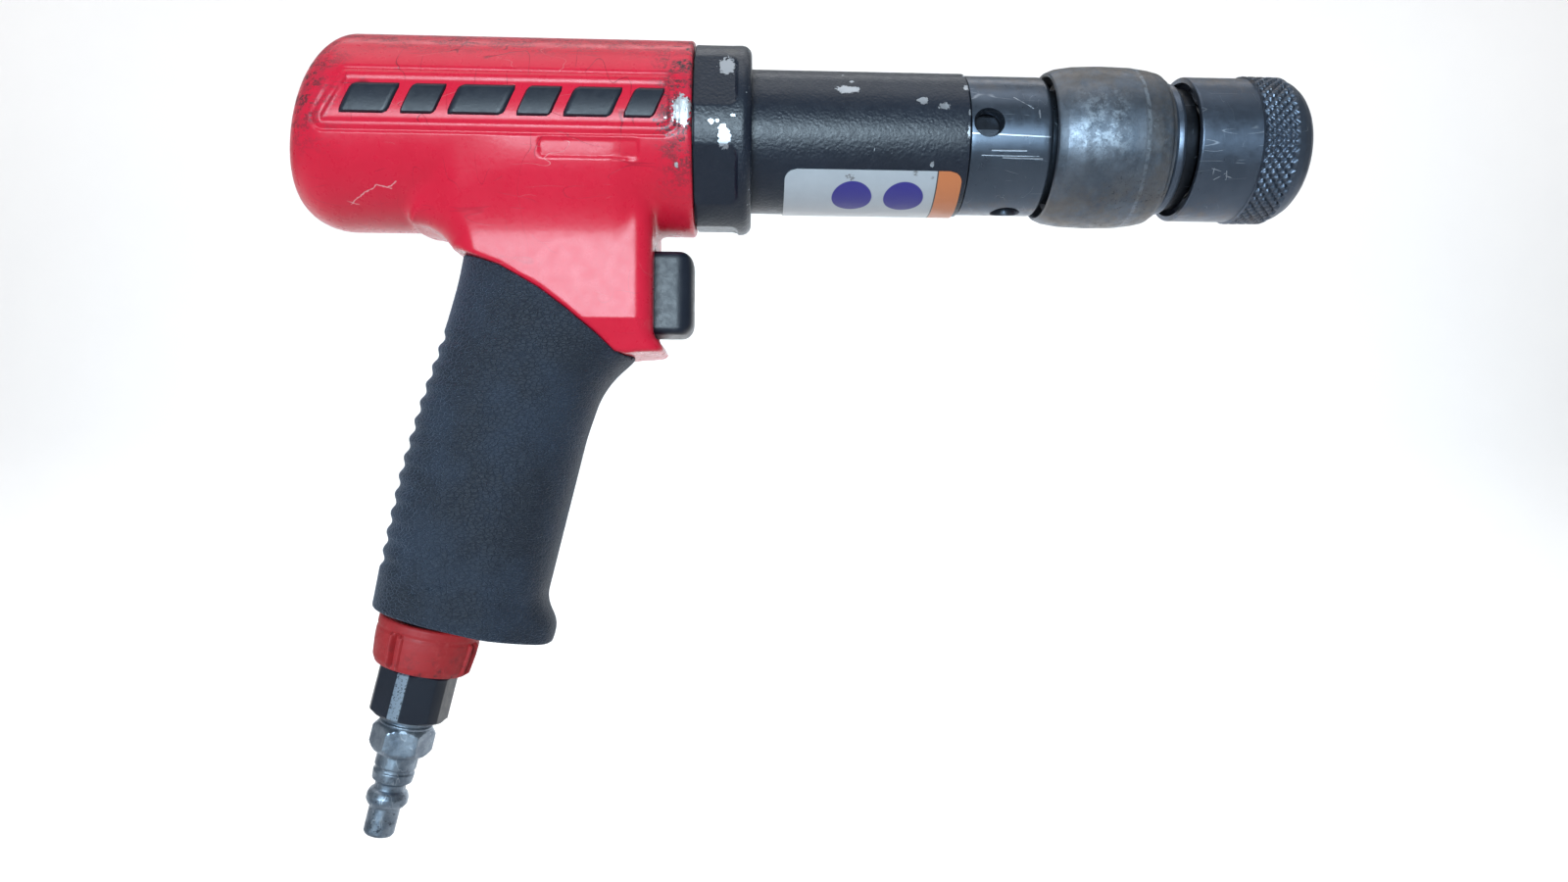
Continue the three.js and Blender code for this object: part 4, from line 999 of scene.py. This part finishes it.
def make_barrel_pieces():
    turned_piece("collar_nut", "collar", BLACK_PAINT, [
        (40.1, 15.4), (40.1, 22.0, 0.3), (51.35, 22.0), (51.4, 24.9, 0.4), (66.1, 24.9, 2.6),
        (66.1, 19.4, 0.2), (54, 19.4), (54, 15.4)], 360, 0.45, collar_flats)
    turned_piece("sleeve_cover", "barrel_sleeve", BLACK_PAINT, [
        (54.3, 15.4), (54.3, 19.0, 0.3), (122.8, 19.0, 0.35), (122.8, 15.4)], 160, 2.0)
    nose_holes = [(127.7, 3), (127.7, 183), (136, -87), (136, 93)]
    turned_piece("nose_bushing", "barrel_nose", NOSE_STEEL, [
        (123.1, 15.4), (123.1, 18.5, 0.25), (144.9, 18.5, 5.0), (144.9, 15.0), (160, 15.0, 0.5), (160, 5.4),
        (136.3, 5.4), (136.3, 15.4)], 160, 1.5, holes=[(*place, 3.4, 14.8, 18.9) for place in nose_holes])
    turned_piece("weathered_ring", "chuck_ring", WORN_STEEL, [
        (151, 17.4), (150, 18.3), (146.2, 18.6, 0.4), (145.4, 19.0, 0.3), (145.9, 19.7, 0.3),
        (148.0, 20.6, 0.7), (152.4, 21.3, 4), (160, 21.6, 20), (168, 21.4, 6), (172.6, 20.8, 6),
        (175.6, 20.1, 1.6), (176.2, 19.2, 0.4), (177.0, 19.0, 0.3), (177.0, 18.4, 0.2),
        (175.4, 17.4)], 200, 1.0)
    turned_piece("wiper_ring", "chuck_wiper", CHUCK_STEEL, [
        (175.8, 16.5), (175.8, 16.9), (177.6, 16.9, 0.2), (178.2, 17.4, 0.3), (179.4, 17.6, 0.4),
        (180.3, 17.2, 0.3), (180.4, 16.5)], 180, 1.0)
    turned_piece("socket_core", "chuck_core", SHADED_CORE_STEEL, [
        (151.2, 15.4), (151.2, 17.0), (172.6, 17.0), (172.6, 16.2), (184, 16.2, 0.5), (184, 14.4),
        (172.6, 14.4), (172.6, 10.6), (205.2, 10.6), (205.2, 9.8), (206.7, 9.8), (206.7, 10.6),
        (213.6, 10.6, 1.0), (213.6, 6.4), (212.6, 5.4), (163.4, 5.4), (163.4, 15.4)], 120, 3.0,
        holes=[(191, 90 * i, 3.3, 2.0, 12.4) for i in range(4)])
    turned_piece("knurled_sleeve", "chuck_sleeve", CHUCK_STEEL, [
        (183.4, 17.9), (183.4, 19.3, 0.5), (199.7, 19.3), (200.0, 19.85), (209.2, 19.75), (209.35, 19.25),
        (211.4, 18.7, 3), (213.5, 17.2, 2), (215, 15.4, 0.4), (215, 13.8), (204.8, 13.8), (204.8, 11),
        (199.6, 11), (199, 13.2), (193.5, 13.2), (191.3, 11), (188.6, 11), (188.6, 17.9)], 700, 0.34,
        knurled, 50, body="sliding_sleeve")


def make_inlet_pieces():
    turned_piece("deflector_ring", "exhaust_ring", RED_PLASTIC, [
        (-60.3, 7.5), (-60.3, 11.9, 0.7), (-58.6, 12.8, 1.2), (-53.5, 13.4, 2.0), (-48.2, 13.5),
        (-47.8, 13.1, 0.3), (-47.8, 11.6), (-58.3, 10.8), (-58.3, 7.5)], 420, 0.4,
        deflector_ribs, 50, about_inlet, "exhaust_deflector")
    low, high = -73.6, -60.6  # the bushing's hexagon
    turned_piece("hex_bushing", "inlet_bushing", BUSHING_PLASTIC, [
        (low, 6.9), (low, 9.3), (low + 0.01, 11), (high - 0.01, 11), (high, 9.3), (high, 7), (-30, 7),
        (-30, 5), (-63, 5), (-64, 6.9)], 360, 0.6, hexed(19, 10.15, low, high, -7, 1.4), 18, about_inlet)
    low, high = -83.5, -76.2  # the plug's hexagon
    turned_piece("quick_plug", "air_plug", ZINC, [
        (-106.2, 2.8), (-106.2, 3.6, 0.2), (-105.5, 4.0, 0.3), (-98.5, 4.0, 0.3), (-98.0, 4.8, 0.2),
        (-97.0, 5.4, 0.5), (-95.6, 5.4, 0.5), (-94.4, 4.9, 0.6), (-93.7, 4.0, 0.4), (-92.1, 4.0, 0.5),
        (-91.3, 5.2, 0.3), (-88.9, 5.4, 0.2), (-88.6, 5.05, 0.1), (-87.8, 5.05, 0.1), (-87.5, 5.4, 0.15),
        (-84.4, 5.4, 0.2), (-84.0, 5.9, 0.2), (low, 6.3), (low + 0.01, 9), (high - 0.01, 9), (high, 6.9),
        (-75.6, 7.0, 0.3), (-75.2, 6.5, 0.2), (-74.6, 6.9, 0.3), (-74.0, 6.9, 0.2), (-73.7, 6.5),
        (-65.8, 6.5), (-65.8, 4.6), (-67.4, 4.6), (-69.4, 2.8)], 240, 0.5,
        hexed(14.3, 8.2, low, high, -16, 0.9), 22, about_inlet)


def make_spring(name, node, height, radius, wire, start, end, turns):
    """A coil along X whose end turns lie closer."""
    steps, sides = int(turns * 28), 10
    rings = []
    for i in range(steps + 1):
        t = i / steps
        spin = 2 * math.pi * turns * t
        out = np.array([0, math.cos(spin), math.sin(spin)])
        share = t - 0.08 * math.sin(2 * math.pi * t)
        centre = np.array([start + wire + (end - start - 2 * wire) * share, 0, height]) + radius * out
        for k in range(sides):
            a = 2 * math.pi * k / sides
            rings.append(centre + wire * (math.cos(a) * out + math.sin(a) * np.array([1, 0, 0])))
    points = np.array(rings)
    tube = grid_faces(steps + 1, sides)[:-sides]
    caps = []
    for first, turn in ((0, -1), (steps * sides, 1)):
        ring = [first + k for k in range(sides)][::turn]
        caps += [(ring[0], ring[k], ring[k + 1], ring[k + 2]) for k in range(1, sides - 2, 2)]
    faces = outward(points, np.concatenate([tube, np.array(caps)]))
    piece = stands_for(add_mesh(name, points, faces, SPRING_STEEL, 60), node, "gun_body")
    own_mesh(piece)


# ---------- CAD nodes that stay, with better materials
KEPT = [
    (SHADED_CORE_STEEL, ["cylinder"]),
    (SPRING_STEEL, ["chuck_snap_ring"]),
    (SEAL_RUBBER, ["cylinder_oring", "rear_gasket", "throttle_valve", "stem_oring", "shank_bumper",
                   "deflector_oring"]),
    (GROUND_STEEL, ["piston", "valve_cap", "valve_body", "valve_shuttle", "valve_dowel", "trigger_stem",
                    "trigger_pin", "throttle_seat", "stem_guide", "inlet_screen"]),
    (GROUND_STEEL, [f"chuck_ball_{i}" for i in range(1, 5)]),
]


def dress_kept_nodes():
    for material, names in KEPT:
        for name in names:
            mesh = NODES[name].data
            mesh.materials.clear()
            mesh.materials.append(material)


# ---------- stage, light and camera
def make_stage():
    """A pale floor that curves up into a backdrop."""
    floor, front, rear, top, half_width, sweep = -450.0, -2600.0, 1300.0, 3200.0, 3200.0, 500
    profile = [(front, floor), (rear, floor)]
    for k in range(1, 13):
        angle = math.radians(90 * k / 12)
        profile.append((rear + sweep * math.sin(angle), floor + sweep * (1 - math.cos(angle))))
    profile.append((rear + sweep, top))
    points = [(x, y, z) for x in (-half_width, half_width) for y, z in profile]
    count = len(profile)
    faces = [(i, count + i, count + i + 1, i + 1) for i in range(count - 1)]
    add_mesh("studio_sweep", points, faces, FLOOR_LOOK)


def add_light(name, place, aim, size, power, colour=(1, 1, 1), spread=180):
    data = bpy.data.lights.new(name, "AREA")
    data.shape = "RECTANGLE"
    data.size, data.size_y = size
    data.energy = power
    data.color = colour
    data.spread = math.radians(spread)
    lamp = bpy.data.objects.new(name, data)
    lamp.location = place
    lamp.rotation_euler = (Vector(aim) - Vector(place)).to_track_quat("-Z", "Y").to_euler()
    bpy.context.scene.collection.objects.link(lamp)


def make_light():
    add_light("front_softbox", (-0.1, -1.2, 0.13), (0.05, 0, 0.06), (2.1, 0.5), 4.8, (0.70, 0.88, 1.0), 50)
    add_light("top_softbox", (0.0, -0.25, 1.5), (0.05, 0, 0.05), (1.6, 0.7), 5)
    add_light("backdrop_light", (0.0, 0.75, 1.6), (0, 1.7, -0.1), (5.2, 0.6), 35, (1, 1, 1), 130)
    add_light("floor_light", (0.0, 0.6, 1.3), (0, 1.15, -0.45), (4.4, 0.4), 5, (1, 1, 1), 70)
    world = bpy.data.worlds.new("studio")
    world.use_nodes = True
    world.node_tree.nodes["Background"].inputs[0].default_value = (0.93, 0.96, 1.0, 1)
    world.node_tree.nodes["Background"].inputs[1].default_value = 0.2
    bpy.context.scene.world = world


CAMERA_PLACE = (0.0653, -0.2815, -0.0002)  # in metres, matched to the photograph's outline
CAMERA_TURN = (2.1, 0.95, 0.4)  # yaw, pitch and roll in degrees
CAMERA_LENS = 23.625  # in millimetres on a 36 mm sensor


def make_camera():
    yaw, pitch, roll = map(math.radians, CAMERA_TURN)
    ahead = Vector((math.sin(yaw) * math.cos(pitch), math.cos(yaw) * math.cos(pitch), math.sin(pitch)))
    right = ahead.cross(Vector((0, 0, 1))).normalized()
    up = right.cross(ahead)
    turned_right = right * math.cos(roll) + up * math.sin(roll)
    turned_up = up * math.cos(roll) - right * math.sin(roll)
    data = bpy.data.cameras.new("camera")
    data.sensor_width, data.lens = 36, CAMERA_LENS
    data.clip_start = 0.01
    camera = bpy.data.objects.new("camera", data)
    turn = Matrix((turned_right, turned_up, -ahead)).transposed().to_4x4()
    camera.matrix_world = Matrix.Translation(CAMERA_PLACE) @ turn
    bpy.context.scene.collection.objects.link(camera)
    bpy.context.scene.camera = camera


dress_kept_nodes()
make_field_pieces()
make_barrel_pieces()
make_label()
make_spring("return_spring", "throttle_spring", THROTTLE, 3.6, 0.45, -4.2, 6.2, 3.5)
make_spring("sleeve_spring", "chuck_spring", BARREL, 12.5, 0.7, 173, 188.2, 5)
make_inlet_pieces()
make_stage()
make_light()
make_camera()
bpy.context.scene.view_settings.view_transform = "Standard"
